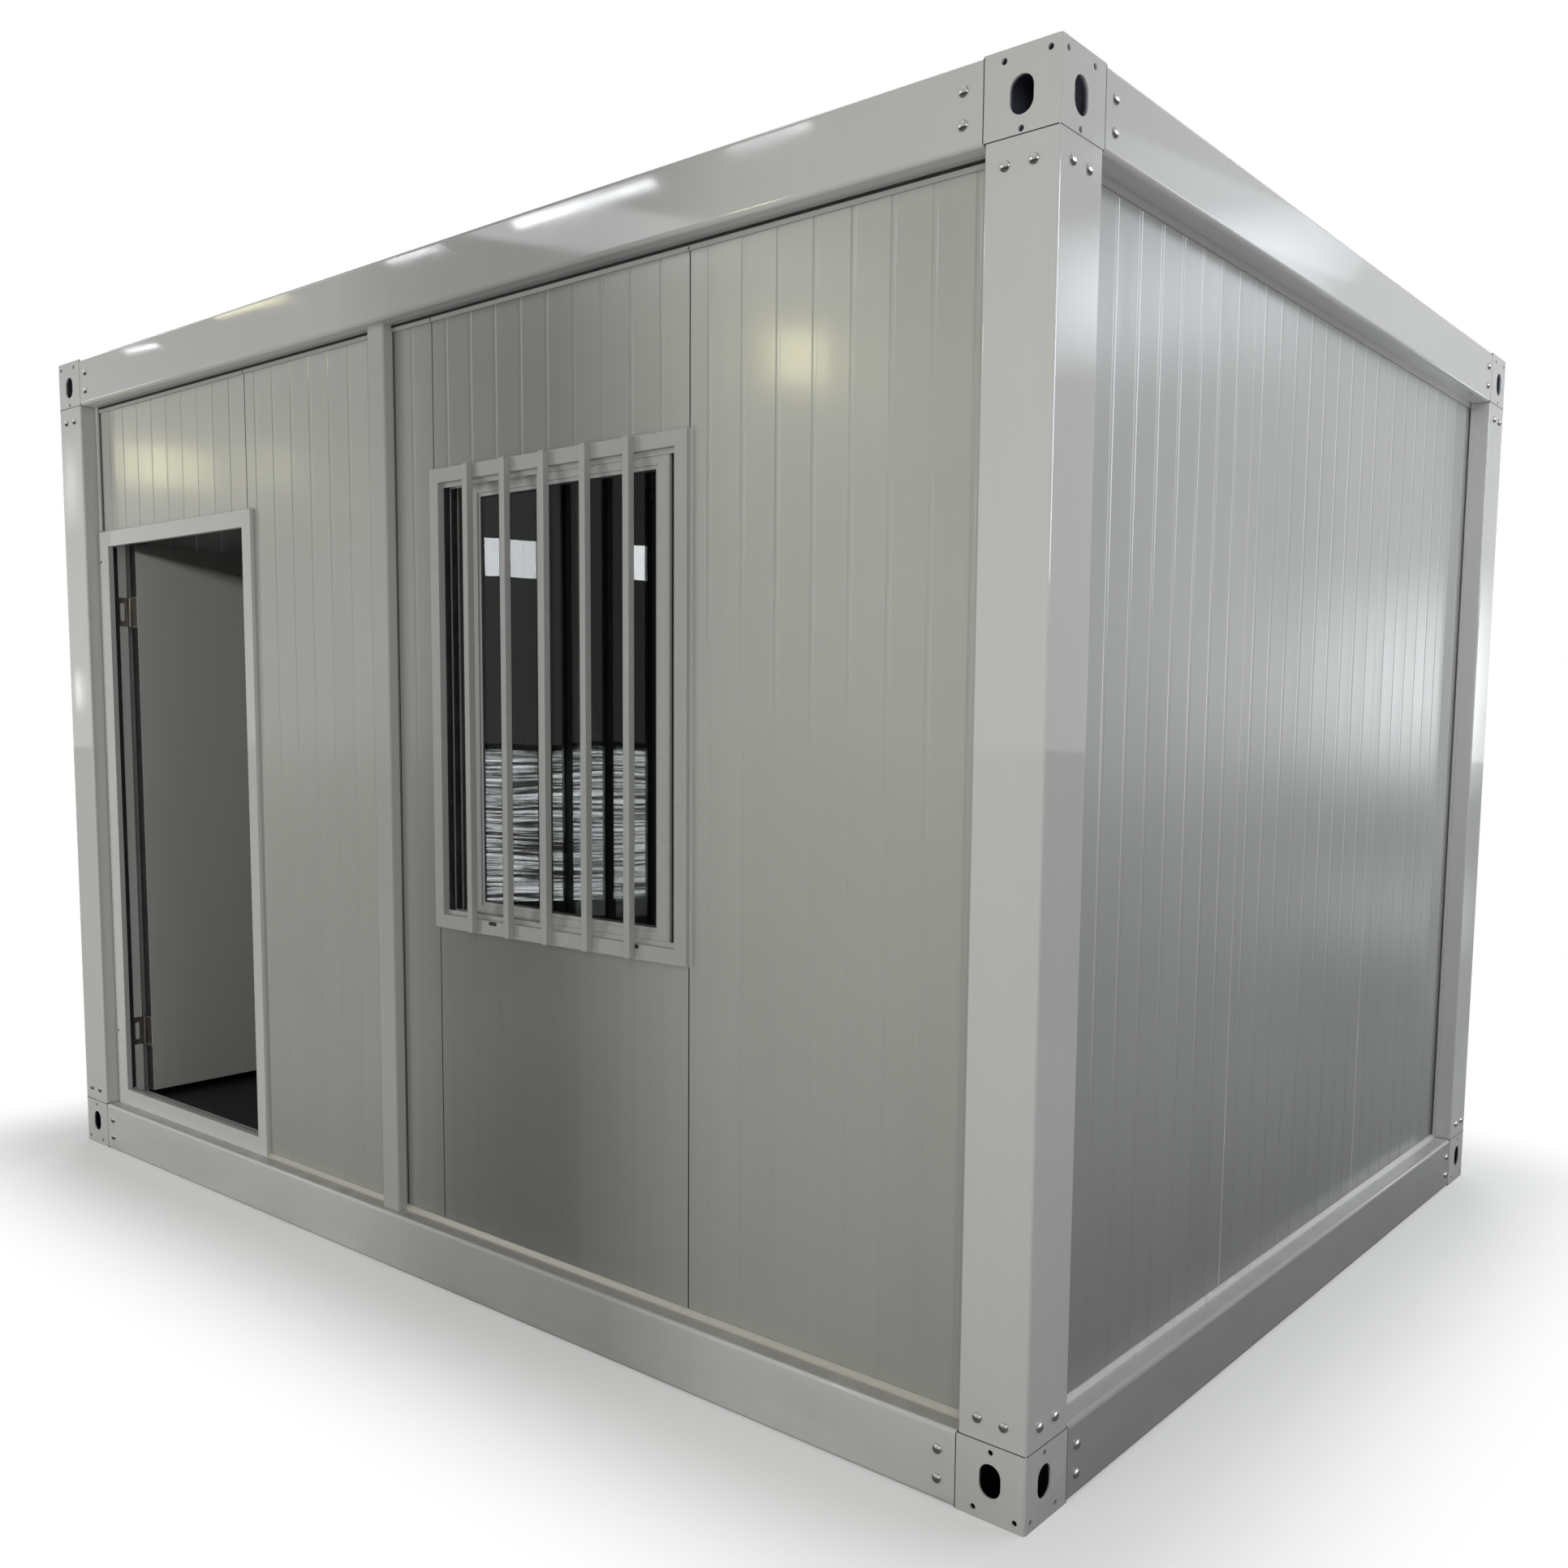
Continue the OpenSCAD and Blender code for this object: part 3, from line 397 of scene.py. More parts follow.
def painted_steel(name, light, dark, roughness, peel, wave, specks=0.0, dust_reach=0.25, soil_and_painted_light=None,
                  along_shade=None):
    """Sprayed paint: drifting tone, a little ground dust that dulls it, and an uneven coat. A group given
    with a colour has a mask that turns the paint into that colour: dirt on the front ledges, painted shade
    and painted light inside the hollow fittings, painted light on the end ledges, and a darker tone on the
    long sides' flashing. The painted shade follows stops along the house."""
    made, tree, shader, place = new_material(name)
    tone = use(tree, TONE, {"Position": place, "Light": light, "Dark": dark, "Streaks": 0.25})["Colour"]
    dust = use(tree, DUST, {"Position": place, "Reach": dust_reach})["Mask"]
    colour = blend_colours(tree, maths(tree, "MULTIPLY", dust, 0.3), tone, DUST_COLOUR)
    # Painted shade along the house: a dark reflection painted into the colour
    if along_shade:
        along = axes_of(tree, place)["X"]
        colour = shaded_along(tree, colour, along, along_shade)
    if soil_and_painted_light:
        colour = blend_colours(tree, use(tree, soil_and_painted_light[0], {"Position": place})["Mask"], colour, soil_and_painted_light[1])
    gloss = spread(tree, noise(tree, place, 2.4, 3.0), 0.3, 0.7, roughness - 0.03, roughness + 0.04)
    dulled = maths(tree, "ADD", gloss, maths(tree, "MULTIPLY", dust, 0.2))
    linked(tree, shader, {"Base Color": colour, "Roughness": dulled, "Specular IOR Level": 0.3})
    coat = use(tree, COAT, {"Position": place, "Peel": peel, "Wave": wave, "Specks": specks})
    bumped(tree, shader, coat["Height"], COAT_DEPTH)
    return made


def panel_skin(name, light, dark, axis, joint, foot_shade, flanks, line_fade, coat, along_shade=None):
    """Coated panel skin: strips between the grooves, each with its own tone, tilt and hollow, painted shade
    and highlight lines on the grooves' flanks that come and go and fade with the height, a painted shade that
    darkens it towards the foot and, where it is given, a painted shade that follows stops along the wall. A
    thin clear coat sharpens its gloss."""
    made, tree, shader, place = new_material(name)
    axes = axes_of(tree, place)
    along, height = axes[axis], axes["Z"]
    strips = use(tree, STRIPS, {"Along": along, "Joint": joint})
    tone = use(tree, TONE, {"Position": place, "Light": light, "Dark": dark, "Streaks": 0.15})["Colour"]
    # Painted shade: the skin darkens towards its foot
    foot = spread(tree, height, *FOOT_SHADE_REACH, foot_shade, 1.0)
    shade = maths(tree, "MULTIPLY", spread(tree, strips["Tone"], 0.0, 1.0, 0.97, 1.0), foot)
    grey = add(tree, "ShaderNodeCombineColor", {0: shade, 1: shade, 2: shade}).outputs[0]
    toned = blend_colours(tree, 1.0, tone, grey, "MULTIPLY")
    # Painted shade along the wall: a dark reflection painted into the colour
    if along_shade:
        toned = shaded_along(tree, toned, along, along_shade)
    come_and_go = spread(tree, noise(tree, stretched(tree, place, (2.5, 2.5, 1.3)), 1.0, 2.0), 0.35, 0.65,
                         0.1, 1.0)
    come_and_go = maths(tree, "MULTIPLY", come_and_go, spread(tree, height, *line_fade))
    # Painted shade and highlight lines on the grooves' flanks
    for flank, painted_light in flanks:
        toned = blend_colours(tree, maths(tree, "MULTIPLY", strips[flank], come_and_go), toned, painted_light)
    dust = use(tree, DUST, {"Position": place, "Reach": 0.5})["Mask"]
    dusty = blend_colours(tree, maths(tree, "MULTIPLY", dust, 0.15), toned, DUST_COLOUR)
    streak = noise(tree, stretched(tree, place, (40.0, 40.0, 0.5)), 1.0, 3.0)
    linked(tree, shader, {"Base Color": dusty, "Roughness": spread(tree, streak, 0.3, 0.7, 0.22, 0.27),
                          "Specular IOR Level": 0.25, "Coat Weight": coat, "Coat Roughness": 0.1,
                          "Coat IOR": 1.3})
    sprayed = use(tree, COAT, {"Position": place, "Peel": 0.003, "Wave": 0.12})["Height"]
    pressed = maths(tree, "MULTIPLY", strips["Height"], 0.1)
    bumped(tree, shader, maths(tree, "ADD", sprayed, pressed), COAT_DEPTH)
    return made


def plated_steel(name, light, dark, roughness, draw):
    """Plated or plain steel with a brushed grain."""
    made, tree, shader, place = new_material(name)
    brushed = use(tree, BRUSHED, {"Position": place, "Light": light, "Dark": dark, "Draw": draw})
    rough = spread(tree, brushed["Grain"], 0.0, 1.0, roughness, roughness + 0.1)
    linked(tree, shader, {"Base Color": brushed["Colour"], "Roughness": rough, "Metallic": 1.0})
    return made


def black_rubber(name):
    """Seal rubber: a bloom of grey in clouds over black, with a fine grain."""
    made, tree, shader, place = new_material(name)
    bloom = spread(tree, noise(tree, place, 22.0, 5.0), 0.4, 0.8)
    colour = blend_colours(tree, bloom, (0.012, 0.012, 0.013, 1), (0.035, 0.035, 0.036, 1))
    linked(tree, shader, {"Base Color": colour, "Roughness": spread(tree, bloom, 0.0, 1.0, 0.55, 0.75)})
    bumped(tree, shader, noise(tree, place, 900.0, 2.0), 0.0005)
    return made


def floor_covering(name):
    """Dark sheet flooring: fine light flecks and a drift of dust in broad clouds."""
    made, tree, shader, place = new_material(name)
    fleck = add(tree, "ShaderNodeTexVoronoi", {"Vector": place, "Scale": 260.0}).outputs["Distance"]
    flecks = spread(tree, fleck, 0.05, 0.16, 1.0, 0.0)
    base = blend_colours(tree, maths(tree, "MULTIPLY", flecks, 0.5), (0.012, 0.012, 0.013, 1),
                         (0.06, 0.06, 0.062, 1))
    clouds = spread(tree, noise(tree, place, 1.8, 5.0), 0.45, 0.8, 0.0, 0.25)
    linked(tree, shader, {"Base Color": blend_colours(tree, clouds, base, (0.05, 0.047, 0.042, 1)),
                          "Roughness": spread(tree, clouds, 0.0, 0.25, 0.6, 0.75),
                          "Specular IOR Level": 0.25})
    bumped(tree, shader, noise(tree, place, 320.0, 2.0), 0.001)
    return made


def window_pane(name):
    """Dark float glass with a faint slow wave and a haze of dust that changes its gloss."""
    made, tree, shader, place = new_material(name)
    haze = noise(tree, place, 3.0, 5.0)
    linked(tree, shader, {"Base Color": blend_colours(tree, haze, (0.13, 0.15, 0.145, 1),
                                                      (0.17, 0.19, 0.185, 1)),
                          "Roughness": spread(tree, haze, 0.45, 0.75, 0.0, 0.02), "Transmission Weight": 1.0,
                          "IOR": 1.2})
    bumped(tree, shader, noise(tree, place, 2.0, 1.0), 0.002)
    return made


# Depth that a coat's height counts in, and the heights over which a skin darkens to its foot, a painted shade
COAT_DEPTH, FOOT_SHADE_REACH = 0.01, (0.1, 1.5)
# Dust, and the painted shade, sheen and highlight on the grooves' flanks
DUST_COLOUR, FLANK_PAINTED_SHADE = (0.24, 0.225, 0.2, 1), (0.2, 0.2, 0.185, 1)
FLANK_PAINTED_SHEEN, FLANK_PAINTED_HIGHLIGHT = (0.66, 0.66, 0.63, 1), (0.85, 0.85, 0.84, 1)
# Inside the hollow fittings: a near-black painted shade, and a bluish painted light in the roof fittings
HOLLOW_PAINTED_SHADE, ROOF_HOLLOW_PAINTED_LIGHT = (0.012, 0.012, 0.012, 1), (0.14, 0.15, 0.19, 1)
# Dirt on the front ledges, a lighter painted tone where light falls on the end ledges, the flashing's long
# sides
LEDGE_DIRT, END_LEDGE_PAINTED_LIGHT, TRIM_LONG_SIDE_TONE = (0.4, 0.39, 0.365, 1), (0.5, 0.5, 0.49, 1), (0.5, 0.49, 0.43, 1)

# The frame's paint: light and dark tone, then roughness, peel, wave, specks and reach of the ground dust
PAINT_TONES = (0.605, 0.605, 0.597, 1), (0.57, 0.57, 0.562, 1)
# The end base rails: tones darker than the frame's paint, a painted shade
END_BASE_SHADED_TONES = (0.4, 0.4, 0.392, 1), (0.365, 0.365, 0.357, 1)
FRAME_COAT = (0.05, 0.0012, 0.02, 0.012, 0.16)
# RAIL_SHADE: painted shade along the front rails, a dark reflection painted into their colour
RAIL_SHADE = ((0.0, 1.0), (0.43, 1.0), (0.5, 0.81), (0.56, 0.71), (0.62, 0.67), (0.7, 0.64), (0.75, 0.8),
              (0.8, 0.96), (0.85, 1.0))
FRAME_PAINT = painted_steel("frame_paint", *PAINT_TONES, *FRAME_COAT)
# Painted shade inside the fittings, and painted light inside the roof fittings
FITTING_PAINT = painted_steel("fitting_paint", *PAINT_TONES, *FRAME_COAT, (HOLLOW, HOLLOW_PAINTED_SHADE))
ROOF_FITTING_PAINT = painted_steel("roof_fitting_paint", *PAINT_TONES, *FRAME_COAT, (HOLLOW, ROOF_HOLLOW_PAINTED_LIGHT))
FRONT_RAIL_PAINT = painted_steel("front_rail_paint", *PAINT_TONES, *FRAME_COAT, None, RAIL_SHADE)
FRONT_BASE_PAINT = painted_steel("front_base_paint", *PAINT_TONES, *FRAME_COAT, (LEDGE, LEDGE_DIRT),
                                 RAIL_SHADE)
END_BASE_SHADED_PAINT = painted_steel("end_base_shaded_paint", *END_BASE_SHADED_TONES, *FRAME_COAT, (LEDGE, END_LEDGE_PAINTED_LIGHT))

# Paint of the smaller pieces: light and dark tone, roughness, peel and wave
STUD_PAINT = painted_steel("stud_paint", (0.46, 0.46, 0.44, 1), (0.43, 0.43, 0.41, 1), 0.2, 0.006, 0.3)
# On the long sides the trim turns to a darker, yellower tone
TRIM_WHITE = painted_steel("trim_white", (0.6, 0.6, 0.585, 1), (0.56, 0.56, 0.545, 1), 0.25, 0.006, 0.2,
                           soil_and_painted_light=(LONG_SIDE, TRIM_LONG_SIDE_TONE))
# Grey, darker than the trim's white: painted shade on the head trim under the rails; the ceiling uses it too
SHADED_TRIM_GREY = painted_steel("trim_grey_shaded", (0.42, 0.42, 0.41, 1), (0.39, 0.39, 0.38, 1), 0.3, 0.006, 0.2)
# The window's white, darkened by a painted shade
SHADED_SASH_WHITE = painted_steel("sash_white", (0.41, 0.415, 0.405, 1), (0.38, 0.385, 0.375, 1), 0.28, 0.006, 0.1)
ROOF_COAT = painted_steel("roof_coat", (0.55, 0.56, 0.56, 1), (0.47, 0.48, 0.48, 1), 0.35, 0.006, 0.4)
LEAF_GREY = painted_steel("leaf_grey", (0.54, 0.54, 0.525, 1), (0.51, 0.51, 0.495, 1), 0.4, 0.005, 0.2)
SEALANT = painted_steel("sealant", (0.45, 0.45, 0.43, 1), (0.4, 0.4, 0.38, 1), 0.45, 0.02, 0.3)

# Panel skins: tones, painted shade at the foot, painted shade and highlights on the flanks, heights and
# strengths between which these painted lines fade, clear coat
LONG_TONES, LONG_FOOT_SHADE, LONG_COAT = ((0.475, 0.482, 0.455, 1), (0.435, 0.442, 0.415, 1)), 0.78, 0.35
END_TONES, END_FOOT_SHADE, END_COAT = ((0.48, 0.485, 0.478, 1), (0.44, 0.445, 0.438, 1)), 0.6, 0.0
LONG_FLANKS, LONG_LINES = (("End", FLANK_PAINTED_SHADE), ("Start", FLANK_PAINTED_SHEEN)), (1.0, 2.4, 0.0, 0.5)
END_FLANKS, END_LINES = (("End", FLANK_PAINTED_HIGHLIGHT),), (0.7, 1.6, 0.0, 1.6)
# FRONT_SHADE: painted shade along the front panels, a dark reflection painted into their colour
FRONT_SHADE = ((0.0, 1.0), (0.47, 1.0), (0.478, 0.78), (0.53, 0.56), (0.6, 0.46), (0.645, 0.48), (0.69, 0.63),
               (0.745, 0.85), (0.79, 1.0))
LONG_SKIN = (*LONG_TONES, "X", LONG_JOINT, LONG_FOOT_SHADE, LONG_FLANKS, LONG_LINES, LONG_COAT)
SKIN_LONG = panel_skin("panel_skin_long", *LONG_SKIN)
SKIN_FRONT = panel_skin("panel_skin_front", *LONG_SKIN, FRONT_SHADE)
SKIN_END = panel_skin("panel_skin_end", *END_TONES, "Y", END_JOINT, END_FOOT_SHADE, END_FLANKS, END_LINES, END_COAT)

ZINC = plated_steel("zinc", (0.45, 0.45, 0.44, 1), (0.32, 0.32, 0.31, 1), 0.18, (260.0, 260.0, 260.0))
HINGE_STEEL = plated_steel("hinge_steel", (0.36, 0.34, 0.31, 1), (0.2, 0.185, 0.165, 1), 0.3,
                           (300.0, 300.0, 18.0))
RUBBER = black_rubber("seal_rubber")
FLOORING = floor_covering("floor_covering")
GLASS = window_pane("window_pane")

NODE_FINISH = {"floor_board": FLOORING, "floor_joists": ZINC, "ceiling_panel": SHADED_TRIM_GREY,
               "roof_sheet": ROOF_COAT,
               "foot_flashing": TRIM_WHITE, "head_trim": SHADED_TRIM_GREY, "middle_post": STUD_PAINT,
               "door_leaf": LEAF_GREY, "window_glass": GLASS}


def node_finish(name):
    """The finish of a CAD node, by its name."""
    if name in NODE_FINISH:
        return NODE_FINISH[name]
    if name.startswith("front_panel"):
        return SKIN_FRONT
    if "panel" in name:
        return SKIN_END if name.startswith(("left", "right")) else SKIN_LONG
    if "_corner_" in name:
        return ROOF_FITTING_PAINT if name.startswith("roof") else FITTING_PAINT
    if name == "roof_rail_front":
        return FRONT_RAIL_PAINT
    if name.startswith("base_rail"):
        return FRONT_BASE_PAINT if name.endswith("front") else END_BASE_SHADED_PAINT
    if name.startswith("window"):
        return SHADED_SASH_WHITE
    if name.startswith("hinge") or name == "door_handle":
        return HINGE_STEEL
    return FRAME_PAINT


for node_name, node_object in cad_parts.items():
    node_object.data.materials.clear()
    node_object.data.materials.append(node_finish(node_name))

# Bolts of the frame: their heights, and their distances in mm from the corner on posts and rails
POST_BOLT_Z = (BASE_TOP + 44 * MM, ROOF_LOW - 48 * MM)
RAIL_BOLT_Z = (48 * MM, 110 * MM, HEIGHT - 110 * MM, HEIGHT - 50 * MM)
LONG_BOLTS, END_BOLTS = ((52, 113), (206,)), ((47, 107), (200,))
BOLT = domed_head(10.5 * MM, 6.0 * MM, 1.2 * MM)


def bolt_places(wall, from_corner, heights):
    """Both ends of a wall, each distance from the corner and each height, on the outer face."""
    length = WALLS[wall][3]
    return [(u, 0.0, z) for c in from_corner for u in (c * MM, length - c * MM) for z in heights]


post_bolts, rail_bolts = [], []
for wall in WALLS:
    at_post, at_rail = LONG_BOLTS if wall in LONG_WALLS else END_BOLTS
    post_bolts.append(placed(wall, repeated(BOLT, bolt_places(wall, at_post, POST_BOLT_Z))))
    rail_bolts.append(placed(wall, repeated(BOLT, bolt_places(wall, at_rail, RAIL_BOLT_Z))))
piece("post_bolts", post_bolts, ZINC)
piece("rail_bolts", rail_bolts, ZINC)

# Dark seams where rails and posts meet the corner fittings: half width, reach out of and into the steel,
# distances from the ends of a rail, a corner and a fitting's edge, and the radius of their corners
SEAM_HALF, SEAM_PROUD, SEAM_DEEP = 1.2 * MM, 0.12 * MM, 1.5 * MM
SEAM_END, SEAM_CORNER, STRIP_ROUND = 2 * MM, 3 * MM, 0.1 * MM


def seam_strips(wall):
    """Upright strips beside the fittings, over the rails' heights, and level strips between fittings and
    posts."""
    length = WALLS[wall][3]
    axis = 0 if wall in LONG_WALLS else 1
    low, high = (np.array(c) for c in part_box("roof_corner_front_left"))
    fitting = high[axis] - LOW[axis]
    strips = []
    for foot, head in ((SEAM_END, BASE_TOP - SEAM_END), (ROOF_LOW + SEAM_END, HEIGHT - SEAM_END)):
        strips += [bar(rounded(u - SEAM_HALF, -SEAM_PROUD, u + SEAM_HALF, SEAM_DEEP, STRIP_ROUND), foot,
                       head, 2)
                   for u in (fitting, length - fitting)]
    spans = (SEAM_CORNER, fitting - SEAM_END), (length - fitting + SEAM_END, length - SEAM_CORNER)
    for z in (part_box("base_corner_front_left")[1][2], low[2]):
        strips += [bar(rounded(-SEAM_PROUD, z - SEAM_HALF, SEAM_DEEP, z + SEAM_HALF, STRIP_ROUND), *span, 0)
                   for span in spans]
    return [placed(wall, strip) for strip in strips]


piece("frame_seams", [strip for wall in WALLS for strip in seam_strips(wall)], RUBBER)


def front_box(node):
    """The box of a node in the front wall's coordinates: start, foot, end and top, and its two depths."""
    low, high = (np.array(c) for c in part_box(node))
    return low[0] - LOW[0], low[2], high[0] - LOW[0], high[2], low[1] - LOW[1], high[1] - LOW[1]


def on_front(*shapes):
    """Shapes in the front wall's coordinates taken to the house's frame."""
    return [placed("front", shape) for shape in shapes]


def plate(u, z, size, start, end):
    """A rounded plate round a place, carried from one depth to another. Its size is half its width, its
    reach down, its reach up and the radius of its corners."""
    half, down, up, corner = size
    return bar(rounded(u - half, z - down, u + half, z + up, corner), start, end, 1)


# The window's frame and its clear opening, the door's jambs and the opening between its stops
WINDOW_EDGE, WINDOW_EDGE_RIGHT = 36 * MM, 40 * MM
WALL_FACE = front_box("front_panel_right")[4]
window = front_box("window_frame")
FRAME_FACE = window[4]
CLEAR = (window[0] + WINDOW_EDGE, window[1] + WINDOW_EDGE, window[2] - WINDOW_EDGE_RIGHT,
         window[3] - WINDOW_EDGE)
hinge_jamb, lock_jamb = front_box("door_jamb_hinge"), front_box("door_jamb_lock")
STOPS = (hinge_jamb[2], front_box("door_sill")[3], lock_jamb[0], front_box("door_head")[1])

# Seals of the panes: a rubber frame in front of and behind each glass, inside the sash's bead
SASH_FACE, SEAL_W, SEAL_T, HALF_GLASS, SEAT = 40 * MM, 5 * MM, 2.2 * MM, 2.5 * MM, 0.2 * MM
pane_seals, sashes = [], [front_box("window_sash_left"), front_box("window_sash_right")]
for u0, z0, u1, z1, d0, d1 in sashes:
    opening = (u0 + SASH_FACE, z0 + SASH_FACE, u1 - SASH_FACE, z1 - SASH_FACE)
    for side in (-1, 1):
        near = (d0 + d1) / 2 + side * HALF_GLASS
        far = near + side * SEAL_T
        pane_seals.append(frame_round(opening, [(-SEAL_W, near), (-SEAT, near), (-SEAT, far),
                                                (-SEAL_W / 2, far)]))
piece("pane_seals", on_front(*pane_seals), RUBBER)

# Brush strips in the sash tracks of the window's jambs, and the right sash's edge with its pile
BRUSH_T, EDGE_W, PILE_T = 3 * MM, 6.5 * MM, 3 * MM
left_sash, right_sash = sashes
edge_u, pile_d = right_sash[2] + EDGE_W, (right_sash[4] + right_sash[5]) / 2


def track_strip(u0, u1, d0, d1):
    """A strip with rounded edges over the height of the window's clear opening."""
    return bar(rounded(u0, d0, u1, d1, MM), CLEAR[1], CLEAR[3], 2)


brushes = [track_strip(CLEAR[0], CLEAR[0] + BRUSH_T, *left_sash[4:]),
           track_strip(CLEAR[2] - BRUSH_T, CLEAR[2], *right_sash[4:]),
           track_strip(CLEAR[0], CLEAR[0] + BRUSH_T, *right_sash[4:]),
           track_strip(edge_u, CLEAR[2], pile_d - PILE_T / 2, pile_d + PILE_T / 2)]
piece("track_brushes", on_front(*brushes), RUBBER)
sash_edge = bar(rounded(right_sash[2], right_sash[4], edge_u, right_sash[5], MM), right_sash[1],
                right_sash[3], 2)
piece("sash_edge", on_front(sash_edge), SHADED_SASH_WHITE)

# Covers of the drain slots in the window's lower rail
DRAIN_H, DRAIN_T, DRAIN_BELOW, DRAIN_U = 5 * MM, 0.8 * MM, 6 * MM, (2330 * MM, 2865 * MM)
DRAIN = (16 * MM, DRAIN_H, DRAIN_H, DRAIN_H * 0.95)
drains = [plate(u, CLEAR[1] - DRAIN_BELOW, DRAIN, FRAME_FACE - DRAIN_T, FRAME_FACE) for u in DRAIN_U]
piece("drain_covers", on_front(*drains), RUBBER)

# Seal of the door: a bulb on the back of the stops, and a strip in the hinge jamb's rebate
STOP_BACK, BULB_MID, BULB_HALF, BULB_OUT = 62 * MM, 6.5 * MM, 6 * MM, 4 * MM
bulb_angle = np.linspace(-math.pi / 2, math.pi / 2, 9)
bulb = np.stack([BULB_MID + BULB_HALF * np.sin(bulb_angle), STOP_BACK + BULB_OUT * np.cos(bulb_angle)], -1)
REBATE, STRIP_T, STRIP_D = 15 * MM, 2 * MM, (STOP_BACK + 4 * MM, STOP_BACK + 20 * MM)
rebate_u = hinge_jamb[2] - REBATE
strip = bar(rounded(rebate_u, STRIP_D[0], rebate_u + STRIP_T, STRIP_D[1], 0.8 * MM), STOPS[1], STOPS[3], 2)
piece("door_seal", on_front(frame_round(STOPS, bulb), strip), RUBBER)

# Sealant between the frames and the panels, a hollow fillet
FILLET, FLASHING_TOP, SEALANT_TOP = 5 * MM, BASE_TOP + 12 * MM, ROOF_LOW - 20 * MM
fillet_angle = np.linspace(0, math.pi / 2, 6)
fillet = np.concatenate([[(0, 0)], np.stack([1 - np.sin(fillet_angle), 1 - np.cos(fillet_angle)],
                                            -1)[::-1]]) * FILLET
stud = front_box("middle_post")


def fillet_beside(u, side):
    """The fillet's outline on the wall's face: the edge's place plus the side times its width, and its
    height."""
    return np.stack([u + side * fillet[:, 0], WALL_FACE - fillet[:, 1]], -1)


piece("window_sealant", on_front(frame_round(window[:4], fillet_beside(0, 1))), SEALANT)
piece("door_sealant", on_front(bar(fillet_beside(lock_jamb[2], 1), FLASHING_TOP, lock_jamb[3], 2),
                               bar(fillet_beside(stud[0], -1), FLASHING_TOP, SEALANT_TOP, 2)), SEALANT)

# Plugs on the hinge jamb and rivets of the head trim at the panel joints
PLUG, PLUG_U, PLUG_Z = domed_head(4.5 * MM, 1.0 * MM, 0.6 * MM, 14, 4), 175 * MM, (428 * MM, 2095 * MM)
piece("jamb_plugs", on_front(repeated(PLUG, [(PLUG_U, FRAME_FACE, z) for z in PLUG_Z])), RUBBER)
RIVET = domed_head(4 * MM, 2.2 * MM, 0.5 * MM, 14, 4)
TRIM_FACE, TRIM_Z = WALL_FACE - 5.3 * MM, ROOF_LOW - 13 * MM
long_joints = LONG_JOINT - LOW[0] + PANEL_W * np.arange(3)
end_joints = END_JOINT - LOW[1] + PANEL_W * np.arange(2)
rivets = [placed(wall, repeated(RIVET, [(u, TRIM_FACE, TRIM_Z) for u in long_joints])) for wall in LONG_WALLS]
piece("trim_rivets", rivets, ZINC)

# Black seal on the long walls' head trim, from post to post and broken by the middle post
HEAD_SEAL_T, HEAD_SEAL_Z = 1.5 * MM, (ROOF_LOW - 8 * MM, ROOF_LOW - 1 * MM)
post_u = front_box("corner_post_front_left")[2]
SPANS = {"front": ((post_u, stud[0]), (stud[2], LENGTH - post_u)), "back": ((post_u, LENGTH - post_u),)}
seal_outline = rounded(TRIM_FACE - HEAD_SEAL_T, HEAD_SEAL_Z[0], TRIM_FACE, HEAD_SEAL_Z[1], 0.6 * MM)
head_seals = [placed(wall, bar(seal_outline, *span, 0)) for wall, spans in SPANS.items() for span in spans]
piece("head_seal", head_seals, RUBBER)

# Strips that fill the panel joints: dark on the long walls, broken by door and window, and light on the end
# walls, where their light tone is a painted highlight
JOINT_HALF, JOINT_PROUD, JOINT_DEEP, STRIP_TOP = 2.0 * MM, 0.15 * MM, 4 * MM, ROOF_LOW - 18 * MM


def joint_strip(wall, u, foot=FLASHING_TOP, head=STRIP_TOP):
    """An upright strip at a place along a wall, a little proud of its face."""
    outline = rounded(u - JOINT_HALF, WALL_FACE - JOINT_PROUD, u + JOINT_HALF, WALL_FACE + JOINT_DEEP,
                      STRIP_ROUND)
    return placed(wall, bar(outline, foot, head, 2))


joint_strips = [joint_strip("front", long_joints[0], front_box("door_head")[3])]
for u in long_joints[1:]:
    joint_strips += [joint_strip("front", u, head=window[1]), joint_strip("front", u, window[3])]
joint_strips += [joint_strip("back", u) for u in long_joints]
joint_strips.append(joint_strip("front", stud[2] + JOINT_HALF))
piece("joint_strips", joint_strips, RUBBER)
end_strips = [joint_strip(wall, u) for wall in END_WALLS for u in end_joints]
piece("end_joint_strips", end_strips, TRIM_WHITE)

# Latch on the inside of the window's meeting stile: a plate and its lever
LATCH_U, LATCH_Z, LATCH_D = left_sash[2] - 20 * MM, (CLEAR[1] + CLEAR[3]) / 2 - 60 * MM, left_sash[5]
LATCH_PLATE, LATCH_PLATE_T = (11 * MM, 45 * MM, 45 * MM, 8 * MM), 6 * MM
LATCH_LEVER, LATCH_LEVER_T = (6 * MM, 8 * MM, 75 * MM, 5.5 * MM), 16 * MM
latch = (plate(LATCH_U, LATCH_Z, LATCH_PLATE, LATCH_D, LATCH_D + LATCH_PLATE_T),
         plate(LATCH_U, LATCH_Z, LATCH_LEVER, LATCH_D + LATCH_PLATE_T, LATCH_D + LATCH_LEVER_T))
piece("sash_latch", on_front(*latch), SHADED_SASH_WHITE)

